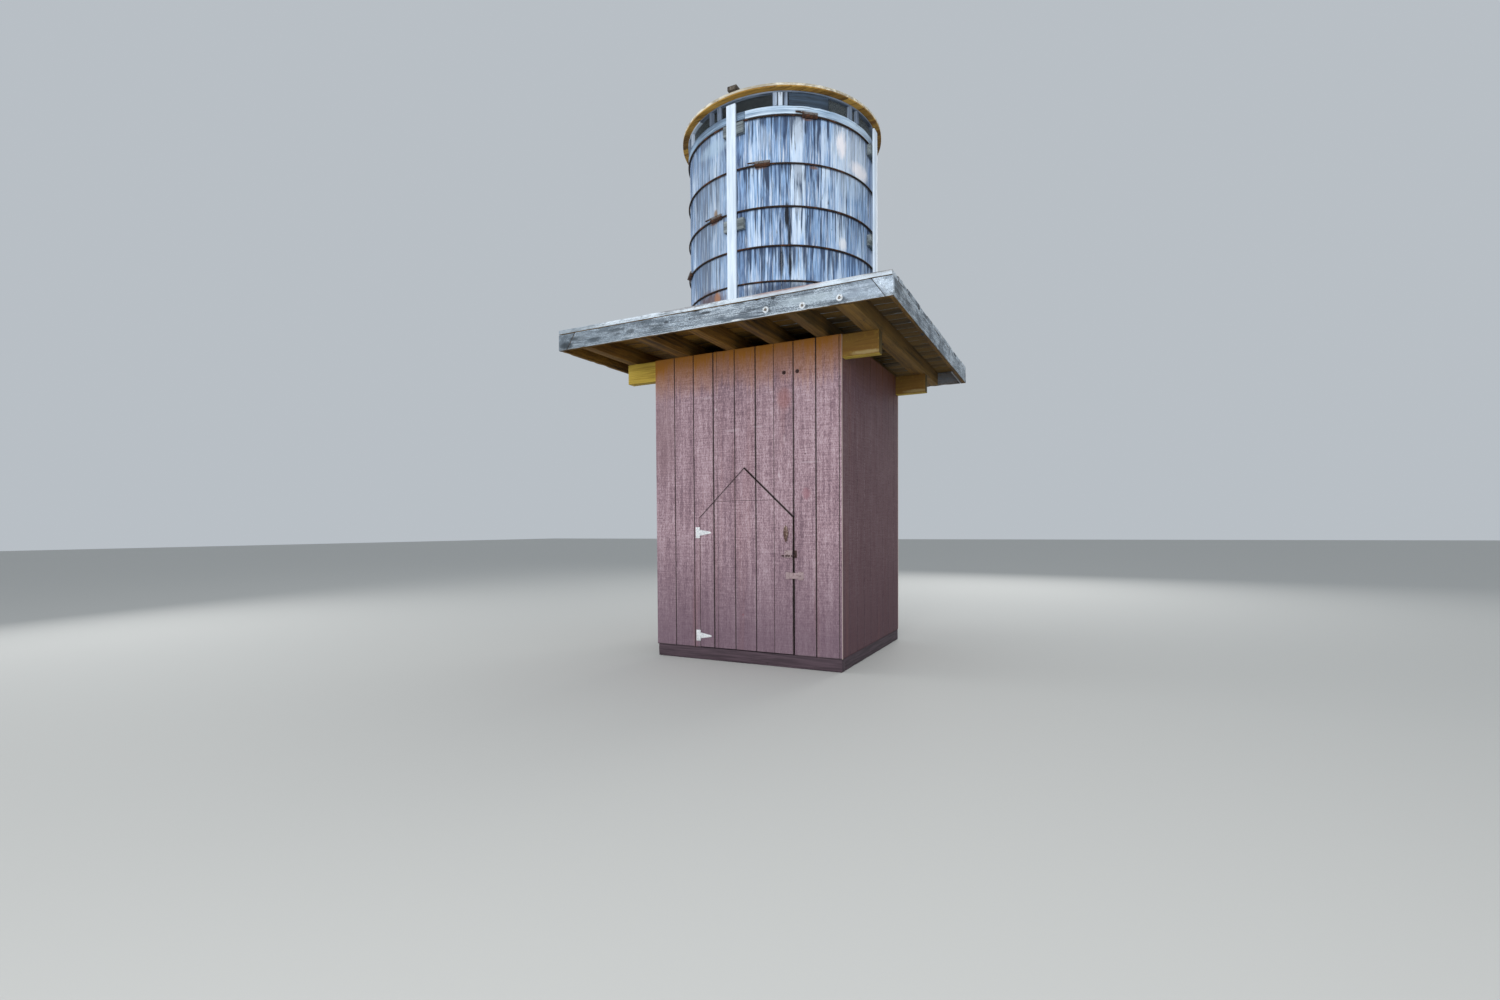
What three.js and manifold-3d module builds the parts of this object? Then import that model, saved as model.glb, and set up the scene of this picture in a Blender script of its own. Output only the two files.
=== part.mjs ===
// A timber water tower: a small sided shed carries two header beams and a joisted platform,
// and a round stave tank with rod hoops, a vent and a flat wooden cover stands on the platform.
// Millimetres, Z up. The front faces -Y. Pieces are placed in the shed's frame, where X runs
// along the front from its left edge, Y runs into the shed from the front siding, and Z is height
// above the ground. The outer group then moves the origin to the bottom centre of the whole.
import * as THREE from "three";
import { mergeVertices } from "three/addons/utils/BufferGeometryUtils.js";
import Module from "manifold-3d";

const wasm = await Module();
wasm.setup();

// Driving dimensions of the shed.
const SEAT = 0.3;
const SHED = 1815;
const SIDING = 16;
const GROOVE = { step: 203.2, wide: 9, deep: 6 };
const SHEET_JOINT = 617;
const FRONT_GROOVES = [
  { at: 209, wide: 9 },
  { at: 412, wide: 9 },
  { at: SHEET_JOINT, wide: 9 },
  { at: 655, wide: 3 },
  { at: 832, wide: 9 },
  { at: 1036, wide: 9 },
  { at: 1209, wide: 5 },
  { at: 1391, wide: 8 },
  { at: 1592, wide: 9 },
  { at: 1794, wide: 6 },
];
const SILL_HIGH = 110;
const SILL_WIDE = 89;
const SILL_SETBACK = 4;
const POST = 89;
const STUD = 38;
const SIDING_HIGH = 2639;
const BEAM_HIGH = 184;
const BEAM_DEEP = 89;
const BEAM_LEFT = -325;
const BEAM_RIGHT = 2120;

// Driving dimensions of the doorway and the door.
const DOOR_LEFT = 467;
const DOOR_RIGHT = 1395;
const SHOULDER_LEFT = SILL_HIGH + 1177;
const SHOULDER_RIGHT = SILL_HIGH + 1169;
const APEX_X = 925;
const APEX = SILL_HIGH + 1607;
const DOOR_SEAM = SILL_HIGH + 1318;
const SEAM_GAP = 3;
const GAP_HINGE = 5;
const GAP_LATCH = 14;
const GAP_BOTTOM = 8;
const GAP_SLOPE_HINGE = 5;
const GAP_SLOPE_LATCH = 10;
const BACKING = 38;
const BACKING_WIDE = 89;
const BACKING_INSET = 12;
const SEAM_RAIL_REACH = 225;
const GABLE_STILE_BELOW = 75;

// Driving dimensions of the platform.
const PLATFORM_LEFT = -551;
const PLATFORM_RIGHT = 2415;
const PLATFORM_FRONT = -680;
const JOIST_HIGH = 140;
const JOISTS = [
  { from: -310, wide: 89 },
  { from: 243, wide: 133 },
  { from: 757, wide: 89 },
  { from: 1180, wide: 89 },
  { from: 1600, wide: 89 },
  { from: 1989, wide: 133 },
];
const RIM_WIDE = 38;
const FASCIA = 38;
const DECK = 38;
const SCARF_LEFT = { low: 93, high: 187 };
const SCARF_RIGHT = { low: 55, high: 154 };

// Driving dimensions of the tank.
const STEPS = 72;
const TANK_X = 914.5;
const TANK_Y = 850;
const TANK_RADIUS = 890;
const STAVE = 45;
const STAVE_CLEAR = 25;
const STAVE_TOP = 4733;
const STAVE_GROUPS = 4;
const FLOOR_LIFT = 85;
const FLOOR_THICK = 38;
const BEARERS = [
  { x: -560, reach: 560 },
  { x: -190, reach: 780 },
  { x: 190, reach: 780 },
  { x: 560, reach: 560 },
];
const CLEATS = { offset: 400, reach: 600 };
const HOOP_HEIGHTS = [4656, 4257, 3899, 3572, 3275, 3005];
const HOOP_LUG_ANGLES = [-50.5, -76.3, -105.4, -139, -18, -60];
const HOOP_ROD = 8;
const HOOP_SIDES = 6;
const LUG = { long: 140, low: -20, middle: 9, high: 28, inner: 1, upperInner: 13, outer: 29 };
const TAIL = { from: -60, to: -128, rise: 18, out: 20, radius: 6 };
const RIM_BAND = { low: 4667, thick: 12 };
const VENT_RING = { low: 4844, inner: 848, outer: 905 };
const VENT_BLOCK = { wide: 38, inner: 876 };
const VENT_BLOCK_ANGLES = [
  -109.2, -102.8, -69.3, -66.4, -63.5, -24, -18, 17, 23, 60, 66, 101, 107, 143, 149, 186, 192, 221, 227,
];
const VENT_BOARD = { from: -61.8, to: -39, inner: 876, outer: 890 };
const SCREEN = { inner: 871, outer: 874.5 };
const COVER = { low: 4856, thick: 32, radius: 955 };
const BATTEN = { wide: 89, high: 38, reach: 980, offset: -20 };

// Driving dimensions of the four boards that stand round the tank.
const SIDE_POST = { wide: 89, thick: 19, top: 4792 };
const SPACER = { left: 90, right: 107, high: 95, thick: 38, heights: [4592, 3785] };
const SIDE_POST_ANGLES = { front: -93, right: -1, back: 87, left: 177 };

const deckBottom = SILL_HIGH + SIDING_HIGH + JOIST_HIGH;
const deckTop = deckBottom + DECK;
const joistBottom = SILL_HIGH + SIDING_HIGH;
const beamBottom = joistBottom - BEAM_HIGH;
const platformBack = 2 * TANK_Y - PLATFORM_FRONT;
const staveBottom = deckTop + STAVE_CLEAR;
const wallTop = joistBottom - SEAT;

const rad = THREE.MathUtils.degToRad;

// One material for each kind of surface.
function finish(colour, roughness, metalness = 0) {
  return new THREE.MeshStandardMaterial({ color: colour, roughness, metalness });
}

const looks = {
  siding: () => finish(0x8d6d74, 0.8),
  sill: () => finish(0x5b3d44, 0.85),
  frame: () => finish(0x9a7a4c, 0.85),
  beam: () => finish(0xa58247, 0.8),
  joist: () => finish(0x6b5334, 0.9),
  fascia: () => finish(0xa9aeb6, 0.85),
  deck: () => finish(0x8d8f90, 0.9),
  stave: () => finish(0x8a93a3, 0.85),
  rimBand: () => finish(0xb9bcc2, 0.8),
  hoop: () => finish(0x3d302b, 0.7, 0.6),
  cover: () => finish(0x9b7a4b, 0.8),
  vent: () => finish(0xaeb4be, 0.8),
  screen: () => finish(0x23262a, 0.6, 0.5),
  white: () => finish(0xe9ecf2, 0.55),
  zinc: () => finish(0xd9dde0, 0.4, 0.7),
  iron: () => finish(0x3b2b28, 0.6, 0.6),
};

const shed = new THREE.Group();
const tank = new THREE.Group();
tank.position.set(TANK_X, TANK_Y, 0);
shed.add(tank);

function place(group, name, geometry, material) {
  const mesh = new THREE.Mesh(geometry, material);
  mesh.name = name;
  group.add(mesh);
  return mesh;
}

// A box between two limits on each axis.
function box([x0, x1], [y0, y1], [z0, z1]) {
  const made = new THREE.BoxGeometry(x1 - x0, y1 - y0, z1 - z0);
  return made.translate((x0 + x1) / 2, (y0 + y1) / 2, (z0 + z1) / 2);
}

// An outline in plan, raised from one height to another.
function raise(points, z0, z1) {
  const shape = new THREE.Shape(points.map(([x, y]) => new THREE.Vector2(x, y)));
  const made = new THREE.ExtrudeGeometry(shape, { depth: z1 - z0, bevelEnabled: false });
  return made.translate(0, 0, z0);
}

// An outline of X and Z on an upright face, carried back from one Y to another.
function upright(points, y0, y1) {
  const made = raise(points.map(([x, z]) => [x, -z]), y0, y1);
  return made.rotateX(-Math.PI / 2);
}

// Joining and cutting of closed geometries.
function solidOf(geometry) {
  const bare = geometry.clone();
  bare.deleteAttribute("normal");
  bare.deleteAttribute("uv");
  const merged = mergeVertices(bare, 1e-4);
  return new wasm.Manifold(
    new wasm.Mesh({
      numProp: 3,
      vertProperties: new Float32Array(merged.attributes.position.array),
      triVerts: new Uint32Array(merged.index.array),
    }),
  );
}

function geometryOf(solid) {
  const mesh = solid.getMesh();
  const made = new THREE.BufferGeometry();
  made.setAttribute("position", new THREE.BufferAttribute(mesh.vertProperties, 3));
  made.setIndex(new THREE.BufferAttribute(mesh.triVerts, 1));
  const flat = made.toNonIndexed();
  flat.computeVertexNormals();
  return flat;
}

function join(...geometries) {
  return geometryOf(geometries.map(solidOf).reduce((all, next) => all.add(next)));
}

function cut(geometry, ...tools) {
  return geometryOf(tools.map(solidOf).reduce((left, tool) => left.subtract(tool), solidOf(geometry)));
}

// An upright rod of any number of sides.
function rod(radius, x, y, z0, z1, sides = 16) {
  const made = new THREE.CylinderGeometry(radius, radius, z1 - z0, sides);
  return made.rotateX(Math.PI / 2).translate(x, y, (z0 + z1) / 2);
}

// Points round the tank, counted in whole steps so that every ring has its corners in line.
function arc(radius, from, to) {
  const points = [];
  for (let step = from; step <= to; step += 1) {
    const angle = (2 * Math.PI * step) / STEPS;
    points.push([radius * Math.cos(angle), radius * Math.sin(angle)]);
  }
  return points;
}

function ring(inner, outer, z0, z1) {
  const around = arc(outer, 0, STEPS - 1).map(([x, y]) => new THREE.Vector2(x, y));
  const hole = arc(inner, 0, STEPS - 1).map(([x, y]) => new THREE.Vector2(x, y));
  const shape = new THREE.Shape(around);
  shape.holes.push(new THREE.Path(hole));
  const made = new THREE.ExtrudeGeometry(shape, { depth: z1 - z0, bevelEnabled: false });
  return made.translate(0, 0, z0);
}

// A radial block, centred on an angle in degrees.
function radialBlock(angle, wide, inner, outer, z0, z1) {
  return box([inner, outer], [-wide / 2, wide / 2], [z0, z1]).rotateZ(rad(angle));
}

// Grooved siding between two places along a wall, with its face at Y 0. A groove that a sheet's edge
// cuts through leaves a rebate there.
function sidingOutline(from, to, grooves) {
  const face = [];
  let reached = from;
  for (const { at, wide } of grooves) {
    const left = Math.max(at - wide / 2, from);
    const right = Math.min(at + wide / 2, to);
    if (left >= right) continue;
    if (left > from) face.push([reached, 0], [left, 0]);
    face.push([left, GROOVE.deep], [right, GROOVE.deep]);
    reached = right;
  }
  if (reached < to) face.push([reached, 0], [to, 0]);
  face.push([to, SIDING], [from, SIDING]);
  return face;
}

function sidingPanel(from, to, z0, z1, grooves) {
  return raise(sidingOutline(from, to, grooves), z0, z1);
}

function evenGrooves() {
  const grooves = [];
  for (let at = GROOVE.step; at < SHED - GROOVE.wide; at += GROOVE.step) {
    grooves.push({ at, wide: GROOVE.wide });
  }
  return grooves;
}

// The shed's frame: sills laid as a ring, corner posts, and the studs beside the doorway.
function buildFrame() {
  const out = SILL_SETBACK;
  const inside = SILL_SETBACK + SILL_WIDE;
  const sills = cut(
    box([out, SHED - out], [out, SHED - out], [0, SILL_HIGH]),
    box([inside, SHED - inside], [inside, SHED - inside], [-1, SILL_HIGH + 1]),
  );
  place(shed, "sill_frame", sills, looks.sill());

  const near = SIDING + SEAT;
  const corners = {
    front_left: [near, near],
    front_right: [SHED - near - POST, near],
    back_left: [near, SHED - near - POST],
    back_right: [SHED - near - POST, SHED - near - POST],
  };
  const postHeight = [SILL_HIGH + SEAT, beamBottom - SEAT];
  for (const [corner, [x, y]] of Object.entries(corners)) {
    place(shed, "corner_post_" + corner, box([x, x + POST], [y, y + POST], postHeight), looks.frame());
  }

  const jambDepth = [near, near + POST];
  const leftStud = [DOOR_LEFT - STUD, DOOR_LEFT];
  const rightStud = [DOOR_RIGHT, DOOR_RIGHT + STUD];
  const headHeight = [APEX + STUD, APEX + 2 * STUD];
  const jambs = join(
    box(leftStud, jambDepth, postHeight),
    box(rightStud, jambDepth, postHeight),
    box([DOOR_LEFT - 1, DOOR_RIGHT + 1], jambDepth, headHeight),
  );
  place(shed, "door_jambs", jambs, looks.frame());
}

// The walls: the front one is two sheets with the pointed doorway cut through both, and the side
// ones are notched for the header beams.
function buildWalls() {
  const low = SILL_HIGH + SEAT;
  const doorway = upright(
    [
      [DOOR_LEFT, low - 1],
      [DOOR_RIGHT, low - 1],
      [DOOR_RIGHT, SHOULDER_RIGHT],
      [APEX_X, APEX],
      [DOOR_LEFT, SHOULDER_LEFT],
    ],
    -1,
    SIDING + 1,
  );
  const seam = SEAT / 2;
  const leftSheet = sidingPanel(0, SHEET_JOINT - seam, low, wallTop, FRONT_GROOVES);
  const rightSheet = sidingPanel(SHEET_JOINT + seam, SHED, low, wallTop, FRONT_GROOVES);
  place(shed, "front_wall_left", cut(leftSheet, doorway), looks.siding());
  place(shed, "front_wall_right", cut(rightSheet, doorway), looks.siding());

  const even = evenGrooves();
  const back = place(shed, "back_wall", sidingPanel(0, SHED, low, wallTop, even), looks.siding());
  back.position.set(SHED, SHED, 0);
  back.rotation.z = Math.PI;

  const edge = SIDING + SEAT;
  const notchDeep = BEAM_DEEP + 2 * SEAT;
  const notchHeight = [beamBottom - SEAT, joistBottom];
  const side = cut(
    sidingPanel(edge, SHED - edge, low, wallTop, even),
    box([edge - 1, edge + notchDeep], [-1, SIDING + 1], notchHeight),
    box([SHED - edge - notchDeep, SHED - edge + 1], [-1, SIDING + 1], notchHeight),
  );
  const right = place(shed, "right_wall", side, looks.siding());
  right.position.set(SHED, 0, 0);
  right.rotation.z = Math.PI / 2;
  const left = place(shed, "left_wall", side.clone(), looks.siding());
  left.position.set(0, SHED, 0);
  left.rotation.z = -Math.PI / 2;
}

// The platform: header beams, joists, side rims, fascias scarfed over the rims, and the deck.
function buildPlatform() {
  const beamHeight = [beamBottom, joistBottom - SEAT];
  const beamLong = [BEAM_LEFT, BEAM_RIGHT];
  const beamInset = SIDING + SEAT;
  const beamPlaces = { front: beamInset, back: SHED - beamInset - BEAM_DEEP };
  for (const [side, y] of Object.entries(beamPlaces)) {
    place(shed, "header_beam_" + side, box(beamLong, [y, y + BEAM_DEEP], beamHeight), looks.beam());
  }

  const joistHeight = [joistBottom, deckBottom - SEAT];
  const joistLong = [PLATFORM_FRONT + FASCIA + SEAT, platformBack - FASCIA - SEAT];
  JOISTS.forEach(({ from, wide }, index) => {
    place(shed, "joist_" + (index + 1), box([from, from + wide], joistLong, joistHeight), looks.joist());
  });

  const [low, high] = joistHeight;
  const fascia = [
    [PLATFORM_LEFT + SCARF_LEFT.low, low],
    [PLATFORM_RIGHT - SCARF_RIGHT.low, low],
    [PLATFORM_RIGHT - SCARF_RIGHT.high, high],
    [PLATFORM_LEFT + SCARF_LEFT.high, high],
  ];
  const leftEnd = [
    [PLATFORM_LEFT, low],
    [PLATFORM_LEFT + SCARF_LEFT.low - SEAT, low],
    [PLATFORM_LEFT + SCARF_LEFT.high - SEAT, high],
    [PLATFORM_LEFT, high],
  ];
  const rightEnd = [
    [PLATFORM_RIGHT - SCARF_RIGHT.low + SEAT, low],
    [PLATFORM_RIGHT, low],
    [PLATFORM_RIGHT, high],
    [PLATFORM_RIGHT - SCARF_RIGHT.high + SEAT, high],
  ];
  const front = [PLATFORM_FRONT, PLATFORM_FRONT + FASCIA];
  const back = [platformBack - FASCIA, platformBack];
  place(shed, "fascia_front", upright(fascia, ...front), looks.fascia());
  place(shed, "fascia_back", upright(fascia, ...back), looks.fascia());

  const lap = FASCIA + SEAT + 1;
  function rim(name, wide, end) {
    const made = join(
      box(wide, joistLong, joistHeight),
      upright(end, PLATFORM_FRONT, PLATFORM_FRONT + lap),
      upright(end, platformBack - lap, platformBack),
    );
    place(shed, name, made, looks.fascia());
  }
  rim("rim_left", [PLATFORM_LEFT, PLATFORM_LEFT + RIM_WIDE], leftEnd);
  rim("rim_right", [PLATFORM_RIGHT - RIM_WIDE, PLATFORM_RIGHT], rightEnd);

  const deck = box([PLATFORM_LEFT, PLATFORM_RIGHT], [PLATFORM_FRONT, platformBack], [deckBottom, deckTop]);
  place(shed, "deck", deck, looks.deck());
}

// The tank: bearers under a floor that the staves close round, in groups of whole staves.
function buildTankBody() {
  const bearerHeight = [deckTop + SEAT, deckTop + FLOOR_LIFT - SEAT];
  const cleatHeight = [deckTop + SEAT, deckTop + SEAT + STUD];
  const half = BACKING_WIDE / 2;
  const bearers = BEARERS.map(({ x, reach }) => box([x - half, x + half], [-reach, reach], bearerHeight));
  const cleats = [-CLEATS.offset, CLEATS.offset].map((y) =>
    box([-CLEATS.reach, CLEATS.reach], [y - half, y + half], cleatHeight),
  );
  place(tank, "tank_bearers", join(...bearers, ...cleats), looks.frame());

  const inner = TANK_RADIUS - STAVE;
  const floorLow = deckTop + FLOOR_LIFT;
  const floor = raise(arc(inner - SEAT, 0, STEPS - 1), floorLow, floorLow + FLOOR_THICK);
  place(tank, "tank_floor", floor, looks.frame());

  const count = STEPS / STAVE_GROUPS;
  const cutBack = (SEAT / 2 / inner) * (STEPS / (2 * Math.PI));
  const names = ["staves_right_back", "staves_left_back", "staves_left_front", "staves_right_front"];
  names.forEach((name, index) => {
    const from = index * count;
    const ends = (radius) => [
      arc(radius, from + cutBack, from + cutBack)[0],
      ...arc(radius, from + 1, from + count - 1),
      arc(radius, from + count - cutBack, from + count - cutBack)[0],
    ];
    const outline = [...ends(TANK_RADIUS), ...ends(inner).reverse()];
    place(tank, name, raise(outline, staveBottom, STAVE_TOP), looks.stave());
  });
}

// A rod hoop with its lug and the end of the rod that stands out past it.
function buildHoop(name, height, lugAngle) {
  const centre = TANK_RADIUS + SEAT + HOOP_ROD;
  const section = [];
  for (let side = 0; side <= HOOP_SIDES; side += 1) {
    const angle = (2 * Math.PI * (side % HOOP_SIDES)) / HOOP_SIDES;
    section.push(new THREE.Vector2(centre + HOOP_ROD * Math.cos(angle), HOOP_ROD * Math.sin(angle)));
  }
  const around = new THREE.LatheGeometry(section, STEPS).rotateX(Math.PI / 2);
  const outside = (reach) => TANK_RADIUS + reach;
  const across = [-LUG.long / 2, LUG.long / 2];
  const lower = box([outside(LUG.inner), outside(LUG.outer)], across, [LUG.low, LUG.middle]);
  const upper = box([outside(LUG.upperInner), outside(LUG.outer)], across, [LUG.middle - 1, LUG.high]);
  const tail = new THREE.CylinderGeometry(TAIL.radius, TAIL.radius, TAIL.from - TAIL.to, 8);
  tail.translate(outside(TAIL.out), (TAIL.from + TAIL.to) / 2, TAIL.rise);
  const turned = [lower, upper, tail].map((piece) => piece.rotateZ(rad(lugAngle)));
  const fitted = join(around, ...turned);
  place(tank, name, fitted.translate(0, 0, height), looks.hoop());
}

// The top of the tank: rim band, vent and cover.
function buildTankTop() {
  const bandInner = TANK_RADIUS + SEAT;
  const band = ring(bandInner, bandInner + RIM_BAND.thick, RIM_BAND.low, STAVE_TOP);
  place(tank, "rim_band", band, looks.rimBand());

  const gap = [STAVE_TOP + SEAT, VENT_RING.low + 1];
  const blocks = VENT_BLOCK_ANGLES.map((angle) =>
    radialBlock(angle, VENT_BLOCK.wide, VENT_BLOCK.inner, VENT_RING.outer - 1, ...gap),
  );
  const from = (VENT_BOARD.from * STEPS) / 360;
  const to = (VENT_BOARD.to * STEPS) / 360;
  const along = (radius) => [
    ...arc(radius, from, from),
    ...arc(radius, Math.ceil(from), Math.floor(to)),
    ...arc(radius, to, to),
  ];
  const boardOutline = [...along(VENT_BOARD.outer), ...along(VENT_BOARD.inner).reverse()];
  const vent = join(
    ring(VENT_RING.inner, VENT_RING.outer, VENT_RING.low, COVER.low - SEAT),
    raise(boardOutline, ...gap),
    ...blocks,
  );
  place(tank, "vent_frame", vent, looks.vent());

  const screen = ring(SCREEN.inner, SCREEN.outer, STAVE_TOP + SEAT, VENT_RING.low - SEAT);
  place(tank, "vent_screen", screen, looks.screen());

  const coverTop = COVER.low + COVER.thick;
  place(tank, "cover", raise(arc(COVER.radius, 0, STEPS - 1), COVER.low, coverTop), looks.cover());
  const batten = box(
    [BATTEN.offset - BATTEN.wide / 2, BATTEN.offset + BATTEN.wide / 2],
    [-BATTEN.reach, BATTEN.reach],
    [coverTop + SEAT, coverTop + SEAT + BATTEN.high],
  );
  place(tank, "cover_batten", batten, looks.deck());
}

// The white boards round the tank, each with the two spacer blocks that hold it off the staves.
function buildSidePosts() {
  const near = TANK_RADIUS + SEAT;
  const face = near + SPACER.thick;
  Object.entries(SIDE_POST_ANGLES).forEach(([side, angle]) => {
    const board = box([face, face + SIDE_POST.thick], [-SIDE_POST.wide / 2, SIDE_POST.wide / 2], [
      deckTop + SEAT,
      SIDE_POST.top,
    ]);
    const spacers = SPACER.heights.map((height) =>
      box([near, face + 1], [-SPACER.left, SPACER.right], [
        height - SPACER.high / 2,
        height + SPACER.high / 2,
      ]),
    );
    const post = place(tank, "tank_post_" + side, join(board, ...spacers), looks.white());
    post.rotation.z = rad(angle);
  });
}

// The door: a lower sheet and a gable sheet on a backing of boards, with gaps all round.
function buildDoor() {
  const leftSlope = (APEX - SHOULDER_LEFT) / (APEX_X - DOOR_LEFT);
  const rightSlope = (APEX - SHOULDER_RIGHT) / (DOOR_RIGHT - APEX_X);
  const leftDrop = GAP_SLOPE_HINGE * Math.hypot(1, leftSlope);
  const rightDrop = GAP_SLOPE_LATCH * Math.hypot(1, rightSlope);
  const left = DOOR_LEFT + GAP_HINGE;
  const right = DOOR_RIGHT - GAP_LATCH;
  const onLeft = (x) => APEX - leftDrop - leftSlope * (APEX_X - x);
  const onRight = (x) => APEX - rightDrop - rightSlope * (x - APEX_X);
  const apexX = APEX_X - (rightDrop - leftDrop) / (leftSlope + rightSlope);
  const leaf = upright(
    [
      [left, SILL_HIGH + GAP_BOTTOM],
      [right, SILL_HIGH + GAP_BOTTOM],
      [right, onRight(right)],
      [apexX, onLeft(apexX)],
      [left, onLeft(left)],
    ],
    -1,
    SIDING + 1,
  );
  const wide = [left - 1, right + 1];
  const through = [-2, SIDING + 2];
  const grooved = sidingPanel(left, right, SILL_HIGH, APEX, FRONT_GROOVES);
  const above = box(wide, through, [DOOR_SEAM - SEAM_GAP / 2, APEX + 1]);
  const below = box(wide, through, [SILL_HIGH - 1, DOOR_SEAM + SEAM_GAP / 2]);
  const sheet = geometryOf(solidOf(grooved).intersect(solidOf(leaf)));
  place(shed, "door_sheet_lower", cut(sheet, above), looks.siding());
  place(shed, "door_sheet_gable", cut(sheet, below), looks.siding());

  const depth = [SIDING + SEAT, SIDING + SEAT + BACKING];
  const inset = BACKING_INSET;
  const foot = SILL_HIGH + GAP_BOTTOM + inset;
  const head = SHOULDER_RIGHT - inset;
  const middle = (foot + head) / 2;
  const half = BACKING_WIDE / 2;
  const centre = (DOOR_LEFT + DOOR_RIGHT) / 2;
  const seamHeight = [DOOR_SEAM - half, DOOR_SEAM + half];
  const backing = join(
    box([left + inset, left + inset + BACKING_WIDE], depth, [foot, head]),
    box([right - inset - BACKING_WIDE, right - inset], depth, [foot, head]),
    box([left + inset, right - inset], depth, [foot, foot + BACKING_WIDE]),
    box([left + inset, right - inset], depth, [middle - half, middle + half]),
    box([left + inset, right - inset], depth, [head - BACKING_WIDE, head]),
    box([centre - SEAM_RAIL_REACH, centre + SEAM_RAIL_REACH], depth, seamHeight),
    box([centre - half, centre + half], depth, [foot, APEX - GABLE_STILE_BELOW]),
  );
  place(shed, "door_backing", backing, looks.frame());
}

// A T-hinge: its plate and pin stay on the wall, and its tapered strap rides on the door.
const IRON = { thick: 3, pivotY: -6 };
const ironFace = [-SEAT - IRON.thick, -SEAT];
const HINGE_HEIGHTS = { lower: SILL_HIGH + 59, upper: SILL_HIGH + 990 };
const HINGE = { high: 98, knuckle: 5.5, pin: 2.5, bore: 3, plate: 40, strap: 118, root: 26, tip: 8 };

// The three stretches of a hinge's height that its knuckles share.
function thirds(low, high) {
  const third = (high - low) / 3;
  return [
    [low, low + third - SEAT],
    [low + third, high - third],
    [high - third + SEAT, high],
  ];
}

function buildHinge(level, low) {
  const high = low + HINGE.high;
  const pinned = (radius, height) => rod(radius, DOOR_LEFT, IRON.pivotY, ...height);
  const around = HINGE.knuckle + 1;
  const [lowThird, midThird, topThird] = thirds(low, high);
  const plate = join(
    box([DOOR_LEFT - HINGE.plate, DOOR_LEFT - around], ironFace, [low, high]),
    box([DOOR_LEFT - around - 1, DOOR_LEFT], ironFace, lowThird),
    box([DOOR_LEFT - around - 1, DOOR_LEFT], ironFace, topThird),
    pinned(HINGE.knuckle, lowThird),
    pinned(HINGE.knuckle, topThird),
    pinned(HINGE.pin, [low, high]),
  );
  place(shed, "hinge_plate_" + level, plate, looks.zinc());

  const middle = (low + high) / 2;
  const { root, tip } = HINGE;
  const strapEnd = DOOR_LEFT + HINGE.strap;
  const outline = [
    [DOOR_LEFT + around, middle - root],
    [strapEnd - tip, middle - tip],
    [strapEnd, middle - tip / 3],
    [strapEnd, middle + tip / 3],
    [strapEnd - tip, middle + tip],
    [DOOR_LEFT + around, middle + root],
  ];
  const strap = join(
    upright(outline, ...ironFace),
    box([DOOR_LEFT, DOOR_LEFT + around + 1], ironFace, midThird),
    pinned(HINGE.knuckle, midThird),
  );
  place(shed, "hinge_strap_" + level, cut(strap, pinned(HINGE.bore, [low, high])), looks.zinc());
}

// The cast pull: a leaf-shaped grip on two feet.
const PULL = {
  x: 1326,
  low: SILL_HIGH + 954,
  high: SILL_HIGH + 1102,
  out: 24,
  wide: 23,
  end: 4,
  flat: 0.4,
  swell: 1.25,
  foot: 7,
  footLow: 20,
  footHigh: 24,
};

function buildPull() {
  const length = PULL.high - PULL.low;
  const steps = 10;
  const profile = [new THREE.Vector2(0, 0)];
  for (let step = 1; step < steps; step += 1) {
    const along = step / steps;
    const swell = Math.sin(Math.PI * Math.pow(along, PULL.swell));
    profile.push(new THREE.Vector2(PULL.end + (PULL.wide - PULL.end) * swell, length * along));
  }
  profile.push(new THREE.Vector2(0, length));
  const grip = new THREE.LatheGeometry(profile, 12).rotateX(Math.PI / 2);
  grip.scale(1, PULL.flat, 1).translate(PULL.x, -PULL.out, PULL.low);
  const foot = (z) => {
    const made = new THREE.CylinderGeometry(PULL.foot, PULL.foot, PULL.out - SEAT, 12);
    return made.translate(PULL.x, -(PULL.out + SEAT) / 2, z);
  };
  const placed = join(grip, foot(PULL.low + PULL.footLow), foot(PULL.high - PULL.footHigh));
  place(shed, "pull_handle", placed, looks.iron());
}

// The slide bolt, drawn back inside the door's edge, and its keeper on the wall.
const BOLT = {
  z: SILL_HIGH + 842,
  y: -10,
  radius: 5,
  bore: 5.8,
  rod: [1282, 1378],
  knob: { x: 1328, radius: 4, long: 26 },
  guide: [1304, 1374],
  guideLoops: [[1310, 1320], [1364, 1372]],
  keeper: [1397, 1419],
  keeperLoop: [1399, 1410],
  keeperBore: 6.8,
  plateBelow: 16,
  plateAbove: 46,
  loopHalf: 9,
};

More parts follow.
